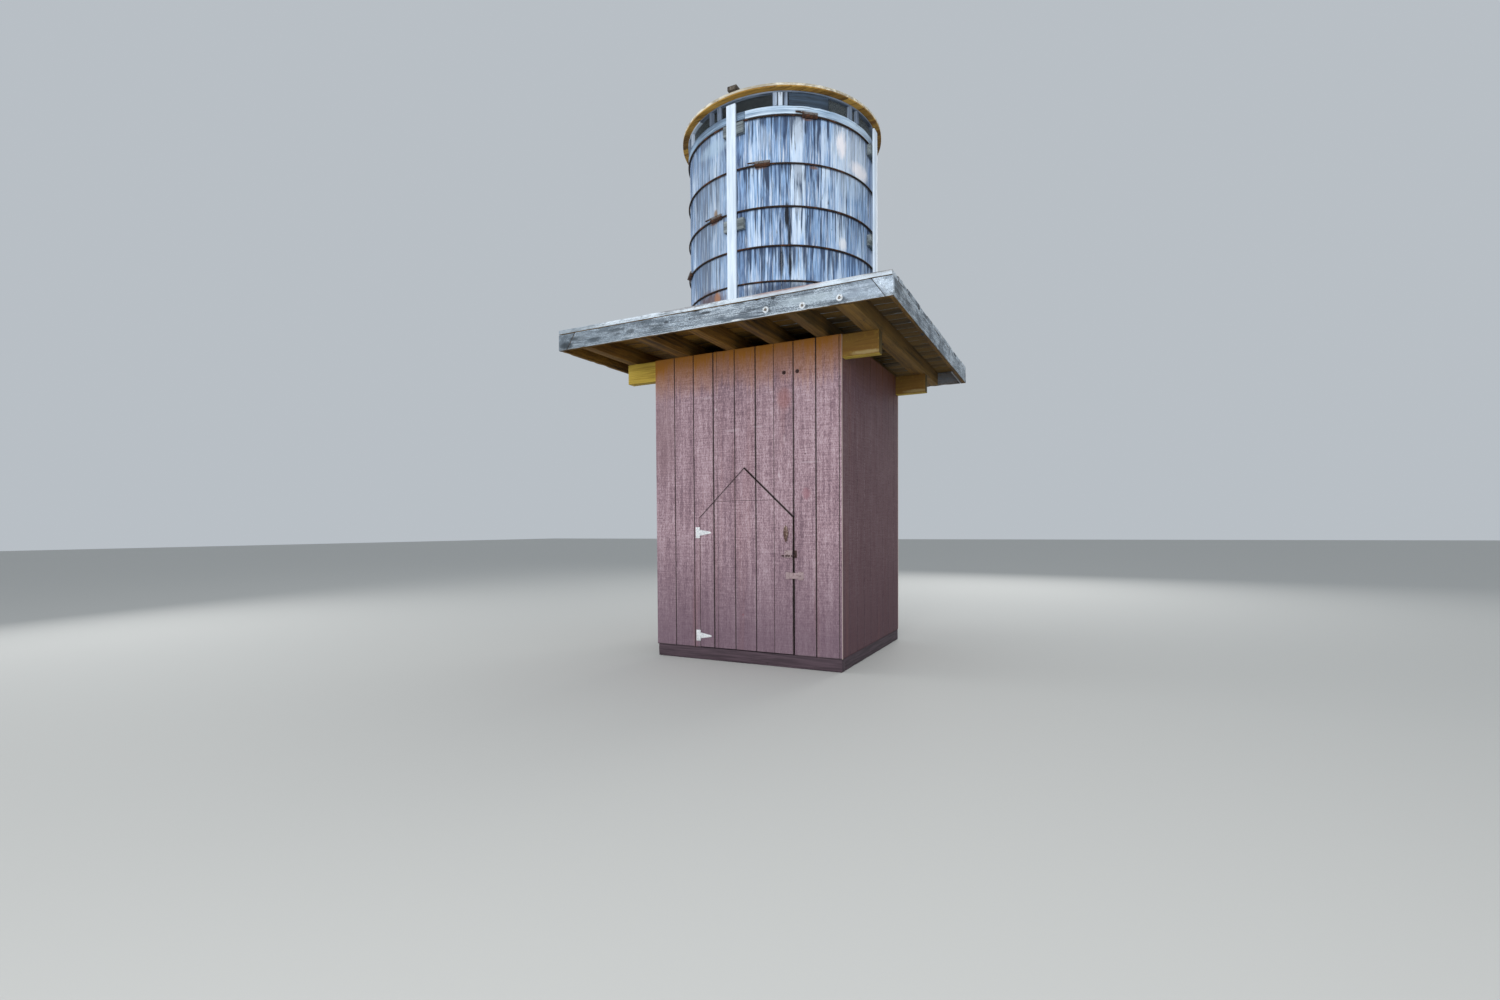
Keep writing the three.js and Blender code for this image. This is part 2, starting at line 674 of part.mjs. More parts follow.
function buildBolt() {
  const { z, y, plateBelow, plateAbove, loopHalf } = BOLT;
  const lie = (radius, [x0, x1]) => {
    const made = new THREE.CylinderGeometry(radius, radius, x1 - x0, 12);
    return made.rotateZ(Math.PI / 2).translate((x0 + x1) / 2, y, z);
  };
  const plate = (wide) => box(wide, ironFace, [z - plateBelow, z + plateAbove]);
  const loop = (wide) => box(wide, [y - loopHalf, ironFace[1]], [z - loopHalf, z + loopHalf]);
  const along = ([x0, x1]) => [x0 - 6, x1 + 6];
  const guide = join(plate(BOLT.guide), ...BOLT.guideLoops.map(loop));
  place(shed, "bolt_guide", cut(guide, lie(BOLT.bore, along(BOLT.guide))), looks.iron());

  const knob = BOLT.knob;
  const grip = new THREE.CylinderGeometry(knob.radius, knob.radius, knob.long, 12);
  const shaft = join(lie(BOLT.radius, BOLT.rod), grip.translate(knob.x, y - knob.long / 2, z));
  place(shed, "bolt_rod", shaft, looks.iron());

  const keeper = join(plate(BOLT.keeper), loop(BOLT.keeperLoop));
  place(shed, "bolt_keeper", cut(keeper, lie(BOLT.keeperBore, along(BOLT.keeper))), looks.iron());
}

// The hasp: a leaf on the door, a slotted strap that turns on it, and a staple on the wall.
const HASP = {
  z: SILL_HIGH + 674,
  pivotX: 1345,
  knuckle: 5,
  pin: 2.2,
  bore: 2.7,
  leafLeft: 1316,
  leafHigh: 60,
  strapRight: 1465,
  strapHalf: 25,
  strapFace: [-7.5, -4.5],
  slot: [1431, 1459],
  slotHalf: 5,
  staple: [1428, 1478],
  stapleHalf: 35,
  legs: [1438, 1452],
  wire: 3,
  eyeOut: -24,
};

function buildHasp() {
  const { z, pivotX, knuckle, wire, eyeOut } = HASP;
  const low = z - HASP.leafHigh / 2;
  const high = z + HASP.leafHigh / 2;
  const [lowThird, midThird, topThird] = thirds(low, high);
  const pinned = (radius, height) => rod(radius, pivotX, IRON.pivotY, ...height, 12);
  const beside = knuckle + 1;
  const leaf = join(
    box([HASP.leafLeft, pivotX - beside], ironFace, [low, high]),
    box([pivotX - beside - 1, pivotX], ironFace, lowThird),
    box([pivotX - beside - 1, pivotX], ironFace, topThird),
    pinned(knuckle, lowThird),
    pinned(knuckle, topThird),
    pinned(HASP.pin, [low, high]),
  );
  place(shed, "hasp_leaf", leaf, looks.siding());

  const strap = join(
    box([pivotX + beside, HASP.strapRight], HASP.strapFace, [z - HASP.strapHalf, z + HASP.strapHalf]),
    box([pivotX, pivotX + beside + 1], HASP.strapFace, midThird),
    pinned(knuckle, midThird),
  );
  const slot = box(HASP.slot, [eyeOut, 0], [z - HASP.slotHalf, z + HASP.slotHalf]);
  place(shed, "hasp_strap", cut(strap, pinned(HASP.bore, [low, high]), slot), looks.siding());

  const across = [z - wire, z + wire];
  const leg = (x) => box([x - wire, x + wire], [eyeOut, ironFace[1]], across);
  const [leftLeg, rightLeg] = HASP.legs;
  const staple = join(
    box(HASP.staple, ironFace, [z - HASP.stapleHalf, z + HASP.stapleHalf]),
    leg(leftLeg),
    leg(rightLeg),
    box([leftLeg - wire, rightLeg + wire], [eyeOut, eyeOut + 2 * wire], across),
  );
  place(shed, "hasp_staple", staple, looks.iron());
}

buildFrame();
buildWalls();
buildPlatform();
buildTankBody();
HOOP_HEIGHTS.forEach((height, index) => {
  buildHoop("hoop_" + (index + 1), height, HOOP_LUG_ANGLES[index]);
});
buildTankTop();
buildSidePosts();
buildDoor();
Object.entries(HINGE_HEIGHTS).forEach(([level, low]) => buildHinge(level, low));
buildPull();
buildBolt();
buildHasp();

shed.position.set(-(PLATFORM_LEFT + PLATFORM_RIGHT) / 2, -TANK_Y, 0);
const tower = new THREE.Group();
tower.add(shed);

export default tower;
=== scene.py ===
import math
import random

import bmesh
import bpy
from mathutils import Matrix, Vector, noise


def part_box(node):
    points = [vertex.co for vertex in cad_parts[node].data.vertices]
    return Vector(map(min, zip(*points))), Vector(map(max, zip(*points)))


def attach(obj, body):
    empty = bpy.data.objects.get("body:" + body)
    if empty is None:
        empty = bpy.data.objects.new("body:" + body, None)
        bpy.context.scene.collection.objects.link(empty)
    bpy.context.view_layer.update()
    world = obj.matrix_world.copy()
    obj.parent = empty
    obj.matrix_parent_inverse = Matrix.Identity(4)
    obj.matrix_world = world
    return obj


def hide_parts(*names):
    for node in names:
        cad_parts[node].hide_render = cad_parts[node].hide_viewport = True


# A timber water tower: weathered staves, boards and timbers, grooved siding under worn paint,
# rusted hoops and door ironwork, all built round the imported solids. Metres, +Z up, door on -Y.
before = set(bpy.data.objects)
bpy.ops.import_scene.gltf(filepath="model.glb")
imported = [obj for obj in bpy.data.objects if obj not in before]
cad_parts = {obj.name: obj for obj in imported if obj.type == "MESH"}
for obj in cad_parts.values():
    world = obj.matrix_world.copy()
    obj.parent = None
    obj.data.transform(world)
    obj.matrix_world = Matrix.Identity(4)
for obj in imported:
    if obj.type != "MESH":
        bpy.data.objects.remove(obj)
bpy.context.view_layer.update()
tankCentre = (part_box("cover")[0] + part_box("cover")[1]) / 2
tankCentre.z = 0.0
tankReach = tankCentre.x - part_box("staves_left_back")[0].x
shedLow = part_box("front_wall_left")[0]
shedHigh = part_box("back_wall")[1]
shedCentre = (shedLow + shedHigh) / 2
shedHalf = (shedHigh.x - shedLow.x) / 2
print("frame loaded:", len(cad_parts), "solids, tank radius", round(tankReach, 3))

arrisLimit = math.radians(30)  # an edge that turns more than this is rounded over
smoothLimit = math.radians(38)  # faces that meet under this angle are shaded as one
flatLimit = math.radians(1.0)  # faces of a copied solid that meet under this angle become one
weldReach = 0.00002
fullTurn = 360.0
wearSeed = 7  # with a fixed seed the wear comes out the same at every run
noise.seed_set(wearSeed)


# Camera and light
viewFrom = {"place": (2.6327, -5.9447, 1.1859), "yaw": -26.93, "pitch": -1.344, "roll": -0.347}
viewLens = {"focal": 15.771, "sensor": 36.0, "raise": 0.02916}
studio = {
    "sky": (0.86, 0.93, 1.0),
    "skyStrength": 0.56,
    "floorTone": (0.52, 0.52, 0.50),
    "floorRough": 0.9,
    "floorReach": 60.0,
}
lamps = {
    "frontLamp": {"place": (3.2, -10.3, 4.4), "aim": (0, 0, 2.6), "size": 6.0, "power": 730.0},
    "leftLamp": {"place": (-9.0, -3.0, 4.5), "aim": (0, 0, 2.6), "size": 5.0, "power": 230.0},
    "backLamp": {"place": (1.0, 9.5, 6.5), "aim": (0, 0, 2.6), "size": 6.0, "power": 480.0},
}


def aimCamera():
    data = bpy.data.cameras.new("photoCamera")
    data.sensor_width = viewLens["sensor"]
    data.lens = viewLens["focal"]
    data.shift_y = viewLens["raise"]
    camera = bpy.data.objects.new("photoCamera", data)
    bpy.context.scene.collection.objects.link(camera)
    yaw, pitch, roll = (math.radians(viewFrom[turn]) for turn in ("yaw", "pitch", "roll"))
    level = math.cos(pitch)
    forward = Vector((math.sin(yaw) * level, math.cos(yaw) * level, math.sin(pitch)))
    right = Vector((math.cos(yaw), -math.sin(yaw), 0.0))
    up = right.cross(forward)
    turnedRight = right * math.cos(roll) + up * math.sin(roll)
    turnedUp = turnedRight.cross(forward)
    axes = Matrix((turnedRight, turnedUp, -forward)).transposed()
    camera.matrix_world = Matrix.Translation(viewFrom["place"]) @ axes.to_4x4()
    bpy.context.scene.camera = camera


def hangLamps():
    for name, lamp in lamps.items():
        data = bpy.data.lights.new(name, "AREA")
        data.size = lamp["size"]
        data.energy = lamp["power"]
        light = bpy.data.objects.new(name, data)
        light.visible_camera = False
        bpy.context.scene.collection.objects.link(light)
        away = Vector(lamp["aim"]) - Vector(lamp["place"])
        turn = away.to_track_quat("-Z", "Y").to_matrix().to_4x4()
        light.matrix_world = Matrix.Translation(lamp["place"]) @ turn
    world = bpy.data.worlds.new("studioSky")
    world.use_nodes = True
    sky = world.node_tree.nodes["Background"]
    sky.inputs["Color"].default_value = (*studio["sky"], 1.0)
    sky.inputs["Strength"].default_value = studio["skyStrength"]
    bpy.context.scene.world = world
    bpy.context.scene.view_settings.view_transform = "Standard"


aimCamera()
hangLamps()
print("camera and lamps placed")


# Building blocks of the finishes
def tint(code):
    def straight(value):
        return value / 12.92 if value <= 0.04045 else ((value + 0.055) / 1.055) ** 2.4

    return tuple(straight(int(code[at:at + 2], 16) / 255) for at in (0, 2, 4)) + (1.0,)


def addNode(tree, kind, inputs=None, **settings):
    made = tree.nodes.new("ShaderNode" + kind)
    for setting, value in settings.items():
        setattr(made, setting, value)
    for socket, value in (inputs or {}).items():
        if isinstance(value, bpy.types.NodeSocket):
            tree.links.new(value, made.inputs[socket])
        else:
            made.inputs[socket].default_value = value
    return made


def maths(tree, operation, *values):
    return addNode(tree, "Math", dict(enumerate(values)), operation=operation).outputs[0]


def mapped(tree, value, low, high, start=0.0, end=1.0):
    limits = {"Value": value, "From Min": low, "From Max": high, "To Min": start, "To Max": end}
    return addNode(tree, "MapRange", limits).outputs["Result"]


def colourMix(tree, share, first, second, mode="MIX"):
    made = addNode(tree, "Mix", {0: share, 6: first, 7: second}, data_type="RGBA", blend_type=mode)
    return made.outputs[2]


def painted(tree, colour, share, code, mode="MIX"):
    return colourMix(tree, share, colour, tint(code), mode)


# How far a value has come from the look's "From" to its "Full", times its "Share".
def bandOf(tree, value, look, name):
    return mapped(tree, value, look[name + "From"], look[name + "Full"], 0.0, look.get(name + "Share", 1.0))


def paintBand(tree, colour, value, look, name):
    return painted(tree, colour, bandOf(tree, value, look, name), look[name])


def stretched(tree, vector, scale):
    return addNode(tree, "Mapping", {"Vector": vector, "Scale": scale}).outputs["Vector"]


def moved(tree, vector, shift):
    return addNode(tree, "Mapping", {"Vector": vector, "Location": shift}).outputs["Vector"]


def axesOf(tree, vector):
    return addNode(tree, "SeparateXYZ", {"Vector": vector}).outputs


def placeOf(tree):
    return addNode(tree, "TexCoord").outputs["Object"]


def normalAxes(tree):
    return axesOf(tree, addNode(tree, "TexCoord").outputs["Normal"])


def apart(tree, first, second):
    return maths(tree, "ABSOLUTE", maths(tree, "SUBTRACT", first, second))


def plusShare(tree, base, layer, share):
    return maths(tree, "MULTIPLY_ADD", layer, share, base)


def noiseAt(tree, vector, scale, detail=3.0, roughness=0.55, bend=0.0):
    values = {"Vector": vector, "Scale": scale, "Detail": detail, "Roughness": roughness}
    return addNode(tree, "TexNoise", {**values, "Distortion": bend}).outputs["Fac"]


def ramp(tree, share, stops, interpolation="LINEAR"):
    made = addNode(tree, "ValToRGB", {"Fac": share})
    made.color_ramp.interpolation = interpolation
    points = made.color_ramp.elements
    for index, (place, colour) in enumerate(stops):
        point = points[index] if index < 2 else points.new(place)
        point.position = place
        point.color = colour
    return made.outputs["Color"]


def startFinish(name):
    finish = bpy.data.materials.new(name)
    finish.use_nodes = True
    tree = finish.node_tree
    tree.nodes.clear()
    shader = addNode(tree, "BsdfPrincipled")
    output = addNode(tree, "OutputMaterial")
    tree.links.new(shader.outputs["BSDF"], output.inputs["Surface"])
    return finish, tree, shader


def closeFinish(tree, shader, colour, height, depth, roughness, metal=0.0):
    bump = addNode(tree, "Bump", {"Height": height, "Distance": depth, "Strength": 1.0})
    tree.links.new(colour, shader.inputs["Base Color"])
    tree.links.new(bump.outputs["Normal"], shader.inputs["Normal"])
    shader.inputs["Metallic"].default_value = metal
    shader.inputs["Roughness"].default_value = roughness


# Where a face looks: wood that looks down or inwards is sheltered and never bleached.
faceTurns = {
    "downFrom": -0.35, "downFull": -0.75, "inFrom": -0.05, "inFull": -0.30,
    "frontFrom": -0.4, "frontFull": -0.7, "side": 0.7,
}
levelOnly = (1.0, 1.0, 0.0)  # leaves the height out
longSpots = (1.0, 1.0, 0.5)  # spots twice as long as they are wide
ragged = {"detail": 4.0, "roughness": 0.6}
torn = {"detail": 4.0, "roughness": 0.65}


def shelterShare(tree):
    place = addNode(tree, "TexCoord").outputs
    down = bandOf(tree, axesOf(tree, place["Normal"])["Z"], faceTurns, "down")
    level = stretched(tree, place["Object"], levelOnly)
    outward = addNode(tree, "VectorMath", {0: level, 1: place["Normal"]}, operation="DOT_PRODUCT")
    inner = bandOf(tree, outward.outputs["Value"], faceTurns, "in")
    return maths(tree, "MAXIMUM", down, inner)


# The long sides of the deck's boards look into the gaps, apart from the outermost two; these get painted
# shade.
def gapShadeShare(tree, middle, half):
    side = maths(tree, "ABSOLUTE", normalAxes(tree)["Y"])
    side = maths(tree, "GREATER_THAN", side, faceTurns["side"])
    back = apart(tree, axesOf(tree, placeOf(tree))["Y"], middle)
    return maths(tree, "MULTIPLY", side, maths(tree, "LESS_THAN", back, half))


# A mark is a ragged patch: its place across and up, half its size each way, its colour and its share.
markEdge = {"ragged": 1.6, "outer": 1.8, "inner": 1.0}


def frontShare(tree):
    return bandOf(tree, normalAxes(tree)["Y"], faceTurns, "front")


def addMarks(tree, colour, across, rise, edge, marks, facing=1.0):
    for markAcross, markUp, halfAcross, halfUp, code, cover in marks:
        side = maths(tree, "DIVIDE", maths(tree, "SUBTRACT", across, markAcross), halfAcross)
        up = maths(tree, "DIVIDE", maths(tree, "SUBTRACT", rise, markUp), halfUp)
        reach = maths(tree, "MULTIPLY_ADD", side, side, maths(tree, "MULTIPLY", up, up))
        reach = plusShare(tree, reach, edge, markEdge["ragged"])
        share = mapped(tree, reach, markEdge["outer"], markEdge["inner"], 0.0, cover)
        colour = painted(tree, colour, maths(tree, "MULTIPLY", share, facing), code)
    return colour


# Timber: fibres and streaks run along the grain of each board, which its "grain" attribute gives,
# and "tone" makes one board lighter or darker than the next.
timberBase = {
    "flow": 0.03, "fibre": 170.0, "streak": 30.0, "patch": 3.0, "speck": 240.0,
    "shares": {"fibre": 0.40, "streak": 0.40, "patch": 0.20, "speck": 0.0},
    "spread": 0.13, "contrast": 1.0, "toneShare": 0.22,
    "blotch": 18.0, "blotchFrom": 0.51, "blotchFull": 0.60, "blotchShare": 0.0,
    "stainAmount": 0.25, "stainEdge": 0.62, "stainPull": 0.3, "stainSoft": 0.12, "stainShare": 0.8,
    "crack": 0.012, "crackScale": 34.0, "spots": 5.0, "spotsFrom": 0.48, "spotsFull": 0.60,
    "knots": 3.2, "knotSize": 0.085, "knotCore": 0.55, "knotShare": 0.5,
    "sheltered": None, "shelteredSpread": 1.0, "edgeReach": None, "gapShadeDeep": 0.0, "gapShadeSoft": 0.004,
    "endShare": 0.0, "endFrom": 0.70, "endFull": 0.90,
    "rightShade": "30301f", "rightShadeShare": 0.0, "rightShadeFrom": 1.05, "rightShadeFull": 1.60,
    "rough": 0.86, "relief": 0.0016, "marks": [], "markScale": 36.0,
}
# Each layer of the grain: the space that it lies in, and its detail, roughness and bend
grainLayers = {
    "fibre": ("flow", 6.0, 0.65, 0.0),
    "streak": ("flow", 4.0, 0.60, 0.4),
    "patch": ("grain", 2.0, 0.55, 0.0),
    "speck": ("grain", 3.0, 0.70, 0.0),
}
stainShift = (7.0, 3.0, 1.0)
stainScale = 0.4
crackShift = (2.0, 9.0, 4.0)
spotShift = (5.0, 1.0, 8.0)
grainRelief = {"streak": 0.5, "speck": 2.0, "crack": -1.2}
gapShadeBlack = "0d0a08"
gapShadeBrown = "2a241b"


def shadeRamp(tree, shade, codes, spread):
    places = (0.5 - spread, 0.5 + spread, 0.5)
    dark, mid, light = codes
    return ramp(tree, shade, [(place, tint(code)) for place, code in zip(places, (dark, light, mid))])


def added(tree, first, second):
    return addNode(tree, "VectorMath", {0: first, 1: second}, operation="ADD").outputs["Vector"]


def timberPattern(tree, look, shift=(0.0, 0.0, 0.0)):
    grain = added(tree, addNode(tree, "Attribute", attribute_name="grain").outputs["Vector"], shift)
    tone = addNode(tree, "Attribute", attribute_name="tone").outputs["Fac"]
    flow = stretched(tree, grain, (1.0, 1.0, look["flow"]))
    layers = {"grain": grain, "flow": flow}
    for layer, (space, detail, roughness, bend) in grainLayers.items():
        layers[layer] = noiseAt(tree, layers[space], look[layer], detail, roughness, bend)
    shade = maths(tree, "MULTIPLY_ADD", tone, look["toneShare"], -look["toneShare"] / 2)
    for layer, share in look["shares"].items():
        shade = plusShare(tree, shade, layers[layer], share)
    spread = look["spread"] / look["contrast"]
    colour = shadeRamp(tree, shade, (look["dark"], look["mid"], look["light"]), spread)
    blotch = noiseAt(tree, stretched(tree, grain, longSpots), look["blotch"], **ragged)
    colour = painted(tree, colour, bandOf(tree, blotch, look, "blotch"), look["dark"])
    if look["sheltered"]:
        unseen = shadeRamp(tree, shade, look["sheltered"], spread * look["shelteredSpread"])
        colour = colourMix(tree, shelterShare(tree), colour, unseen)
    if look["edgeReach"]:
        # Painted shade on the boards' sides in the gaps.
        colour = painted(tree, colour, gapShadeShare(tree, *look["edgeReach"]), gapShadeBrown)

    stain = noiseAt(tree, moved(tree, flow, stainShift), look["streak"] * stainScale)
    edge = look["stainEdge"] - look["stainPull"] * look["stainAmount"]
    stain = mapped(tree, stain, edge, edge + look["stainSoft"], 0.0, look["stainShare"])
    colour = painted(tree, colour, stain, look["stain"], "MULTIPLY")

    line = apart(tree, noiseAt(tree, moved(tree, flow, crackShift), look["crackScale"], 2.0), 0.5)
    line = mapped(tree, line, 0.0, look["crack"], 1.0, 0.0)
    where = noiseAt(tree, moved(tree, grain, spotShift), look["spots"], 1.0)
    crack = maths(tree, "MULTIPLY", line, bandOf(tree, where, look, "spots"))
    colour = painted(tree, colour, crack, look["crackColour"])

    cell = addNode(tree, "TexVoronoi", {"Vector": stretched(tree, grain, longSpots), "Scale": look["knots"]})
    knot = mapped(tree, cell.outputs["Distance"], look["knotSize"], look["knotSize"] * look["knotCore"])
    chosen = addNode(tree, "SeparateColor", {"Color": cell.outputs["Color"]}).outputs[0]
    chosen = maths(tree, "LESS_THAN", chosen, look["knotShare"])
    colour = painted(tree, colour, maths(tree, "MULTIPLY", knot, chosen), look["knot"])

    height = plusShare(tree, layers["fibre"], layers["streak"], grainRelief["streak"])
    height = plusShare(tree, height, layers["speck"], grainRelief["speck"] * look["shares"]["speck"])
    height = plusShare(tree, height, crack, grainRelief["crack"])
    return colour, height, layers


def timberFinish(wood, **changes):
    look = {**timberBase, **dict(zip(colourParts, woodColours[wood])), **changes}
    finish, tree, shader = startFinish(wood + "Timber")
    colour, height, layers = timberPattern(tree, look)
    axes = axesOf(tree, placeOf(tree))
    across = maths(tree, "SUBTRACT", axes["X"], shedLow.x)
    if look["marks"]:
        edge = noiseAt(tree, layers["grain"], look["markScale"], **ragged)
        colour = addMarks(tree, colour, across, axes["Z"], edge, look["marks"], frontShare(tree))
    # Painted shade: joists, and the deck's underside, darker towards the platform's right end.
    if look["rightShadeShare"]:
        rightShade = bandOf(tree, across, look, "rightShade")
        if look["sheltered"]:
            rightShade = maths(tree, "MULTIPLY", rightShade, shelterShare(tree))
        colour = painted(tree, colour, rightShade, look["rightShade"])
    # End faces darker: partly the end grain's own colour, partly painted shade.
    if look["endShare"]:
        along = maths(tree, "ABSOLUTE", normalAxes(tree)["X"])
        colour = painted(tree, colour, bandOf(tree, along, look, "end"), look["crackColour"])
    # Painted shade: framing within a few centimetres behind the shed's front face goes black, as seen
    # through the door's gaps.
    if look["gapShadeDeep"]:
        behind = maths(tree, "SUBTRACT", axes["Y"], shedLow.y)
        shaded = mapped(tree, behind, look["gapShadeDeep"], look["gapShadeDeep"] - look["gapShadeSoft"])
        colour = painted(tree, colour, shaded, gapShadeBlack)
    closeFinish(tree, shader, colour, height, look["relief"], look["rough"])
    return finish


underBrown = ("33240a", "7c5812", "a57c26")
colourParts = ("dark", "mid", "light", "stain", "crackColour", "knot")
woodColours = {
    "silver": ("49535d", "adbbc8", "ecf3fa", "a09c96", "202226", "2d3036"),
    "deck": ("46505a", "909da9", "dde7f0", "8b7d70", "1d1b19", "2b2824"),
    "joist": ("3a2809", "795616", "a87c2c", "8a7a64", "140e07", "241809"),
    "beam": ("967a28", "c9ac45", "e4c968", "b39a70", "3b2c14", "54401c"),
    "framing": ("755834", "a1804f", "c2a372", "a08a70", "35281a", "4c3620"),
    "batten": ("3b332b", "6d6459", "a29a8e", "857668", "1b1814", "2a241c"),
    "vent": ("4b5768", "8797ad", "c2d0e0", "8d929b", "20242b", "333a44"),
    # The vent board: the vent's wood darkened as painted shade under the cover.
    "ventBoard": ("171d24", "242f3a", "3c4e62", "8d929b", "0f1214", "181c20"),
    "rim": ("5a6c80", "8faac5", "cde0f2", "aeb6c0", "272b30", "474d55"),
    "spacer": ("535b5f", "869094", "b6bfc2", "8f8d84", "22252a", "3d4142"),
}
# Marks on the platform and the beams count across from the shed's left edge.
fasciaMarks = [
    (0.229, 2.816, 0.05, 0.022, "2e3338", 0.7),
    (0.578, 2.837, 0.03, 0.013, "353a40", 0.85),
    (0.8, 2.828, 0.016, 0.01, "353a40", 0.85),
    (0.942, 2.855, 0.07, 0.011, "2a2e33", 0.9),
    (1.523, 2.875, 0.022, 0.014, "24272b", 0.9),
    (2.143, 2.824, 0.02, 0.014, "363c43", 0.85),
    (2.227, 2.815, 0.018, 0.012, "363c43", 0.85),
    (-0.324, 2.827, 0.09, 0.026, "3d4449", 0.55),
    # The next five: painted highlights along the lower edge, painted light over the right end and painted
    # shade over the left end.
    (1.218, 2.76, 0.06, 0.007, "e8ecee", 0.8),
    (1.804, 2.822, 0.3, 0.04, "c3d2dc", 0.45),
    (0.93, 2.753, 1.7, 0.005, "d9e1e6", 0.55),
    (2.25, 2.82, 0.34, 0.09, "c3d3e6", 0.35),
    (-0.25, 2.805, 0.7, 0.3, "64707a", 0.3),
    (-0.46, 2.785, 0.09, 0.034, "2f373e", 0.85),
    (-0.38, 2.835, 0.06, 0.022, "353d44", 0.8),
    (-0.15, 2.8, 0.08, 0.026, "3a434b", 0.75),
    (0.08, 2.845, 0.12, 0.018, "363e45", 0.75),
    (0.48, 2.8, 0.09, 0.02, "414a52", 0.6),
    (1.0, 2.79, 0.14, 0.024, "55606a", 0.55),
    # The last three: painted shadows below and to the right of the three washers.
    (1.489, 2.788, 0.022, 0.02, "3a4148", 0.7),
    (1.782, 2.773, 0.022, 0.02, "3a4148", 0.75),
    (2.06, 2.782, 0.02, 0.018, "3a4148", 0.7),
]
deckEdgeMarks = [
    (1.62, 2.918, 0.36, 0.024, "85594a", 0.75),
    (0.78, 2.922, 0.3, 0.014, "5d4a40", 0.6),
    # The last three: a painted shade line under the boards' ends, painted shade over the left end and
    # painted light over the right end.
    (0.93, 2.89, 1.7, 0.003, "22262a", 0.8),
    (-0.4, 2.908, 0.4, 0.09, "5c6872", 0.5),
    (1.9, 2.902, 1.1, 0.018, "c6d3e0", 0.6),
]
beamMarks = [
    (1.968, 2.665, 0.5, 0.26, "6e4a18", 0.88),
    (2.018, 2.585, 0.15, 0.02, "b9a878", 0.5),
]
speckled = {"fibre": 0.28, "streak": 0.14, "patch": 0.12, "speck": 0.46}
deckLow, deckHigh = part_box("deck")
outerBoards = 0.030  # the outermost sides show, and stay as bleached as the top
deckReach = ((deckLow.y + deckHigh.y) / 2, (deckHigh.y - deckLow.y) / 2 - outerBoards)
woodChanges = {
    "silver": {"contrast": 1.7, "knotShare": 0.75, "sheltered": underBrown, "marks": fasciaMarks,
               "shares": speckled, "blotch": 9.0, "blotchShare": 0.70},
    "deck": {"contrast": 1.3, "sheltered": underBrown, "shelteredSpread": 1.6, "marks": deckEdgeMarks,
             "shares": speckled, "blotchShare": 0.4, "toneShare": 0.13, "edgeReach": deckReach,
             "rightShadeShare": 0.45},
    "joist": {"contrast": 0.9, "rightShadeShare": 0.45},
    "beam": {"contrast": 0.8, "stainAmount": 0.1, "marks": beamMarks, "endShare": 0.85},
    "framing": {"contrast": 0.8, "gapShadeDeep": 0.052},
    "batten": {"contrast": 1.1},
    "vent": {},
    "ventBoard": {},
    "rim": {"knotShare": 0.1},
    "spacer": {},
}
finishes = {wood: timberFinish(wood, **changes) for wood, changes in woodChanges.items()}
print("timber finishes mixed")


# The cover's boards are warm brown below and bleached along the top of the edge and above, with painted
# shade under the cover inside the vent ring
coverColours = {
    "dark": "54390f", "mid": "97702a", "light": "bd9444",
    "stain": "a2855c", "crackColour": "1c140b", "knot": "3a1f10", "contrast": 0.9,
    "bleach": "e3dcc9", "bleachDark": "a59d8c", "bleachFrom": 0.014, "bleachFull": 0.017,
    "bleachWaver": 0.008, "bleachStops": (0.40, 0.60),
    "inside": "1c150d", "insideFrom": 0.870, "insideFull": 0.855,
}


def coverFinish():
    look = {**timberBase, **coverColours}
    finish, tree, shader = startFinish("coverTimber")
    colour, height, layers = timberPattern(tree, look)
    centred = (-tankCentre.x, -tankCentre.y, -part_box("cover")[0].z)
    place = moved(tree, placeOf(tree), centred)
    level = stretched(tree, place, levelOnly)
    reach = addNode(tree, "VectorMath", {0: level}, operation="LENGTH").outputs["Value"]
    # Painted shade on the cover's underside inside the vent ring.
    colour = paintBand(tree, colour, reach, look, "inside")
    rise = plusShare(tree, axesOf(tree, place)["Z"], layers["patch"], look["bleachWaver"])
    bleached = bandOf(tree, rise, look, "bleach")
    tints = (tint(look["bleachDark"]), tint(look["bleach"]))
    worn = ramp(tree, layers["streak"], list(zip(look["bleachStops"], tints)))
    colour = colourMix(tree, bleached, colour, worn)
    closeFinish(tree, shader, colour, height, look["relief"], look["rough"])
    return finish


finishes["cover"] = coverFinish()


# Staves: the timber pattern with dark and pale runs that start anew under each hoop, and a painted shadow
# line just under each hoop
hoopCount = 6
lugAbove = 0.028
hoopHeights = [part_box("hoop_" + str(number))[1].z - lugAbove for number in range(1, hoopCount + 1)]
staveBlue = {
    "dark": "4c6387", "mid": "8fb0d8", "light": "d3e4f6",
    "stain": "b0b9c8", "crackColour": "151922", "knot": "2a313f",
    "contrast": 1.2, "toneShare": 0.20, "fibre": 150.0, "streak": 38.0,
    "knotShare": 0.06, "stainAmount": 0.30, "crack": 0.010, "flow": 0.040,
}
staveRuns = {
    "fade": 0.30, "joint": 0.0005, "lift": 0.13, "wide": 44.0, "narrow": 84.0, "bandShift": 31.0,
    "wideShift": (3.0, 6.0, 2.0), "narrowShift": (8.0, 1.0, 5.0), "edge": 48.0, "edgeFlow": (1.0, 1.0, 0.25),
    "darkFrom": 0.580, "darkFull": 0.670, "dark": "263651", "darkShare": 0.90,
    "paleFrom": 0.50, "paleFull": 0.66, "pale": "e0e9f5", "paleShare": 0.75, "paleDrop": 0.07,
    # The line run is painted shadow just under each hoop.
    "lineFrom": 0.945, "lineFull": 0.985, "line": "223049", "lineShare": 0.85,
}
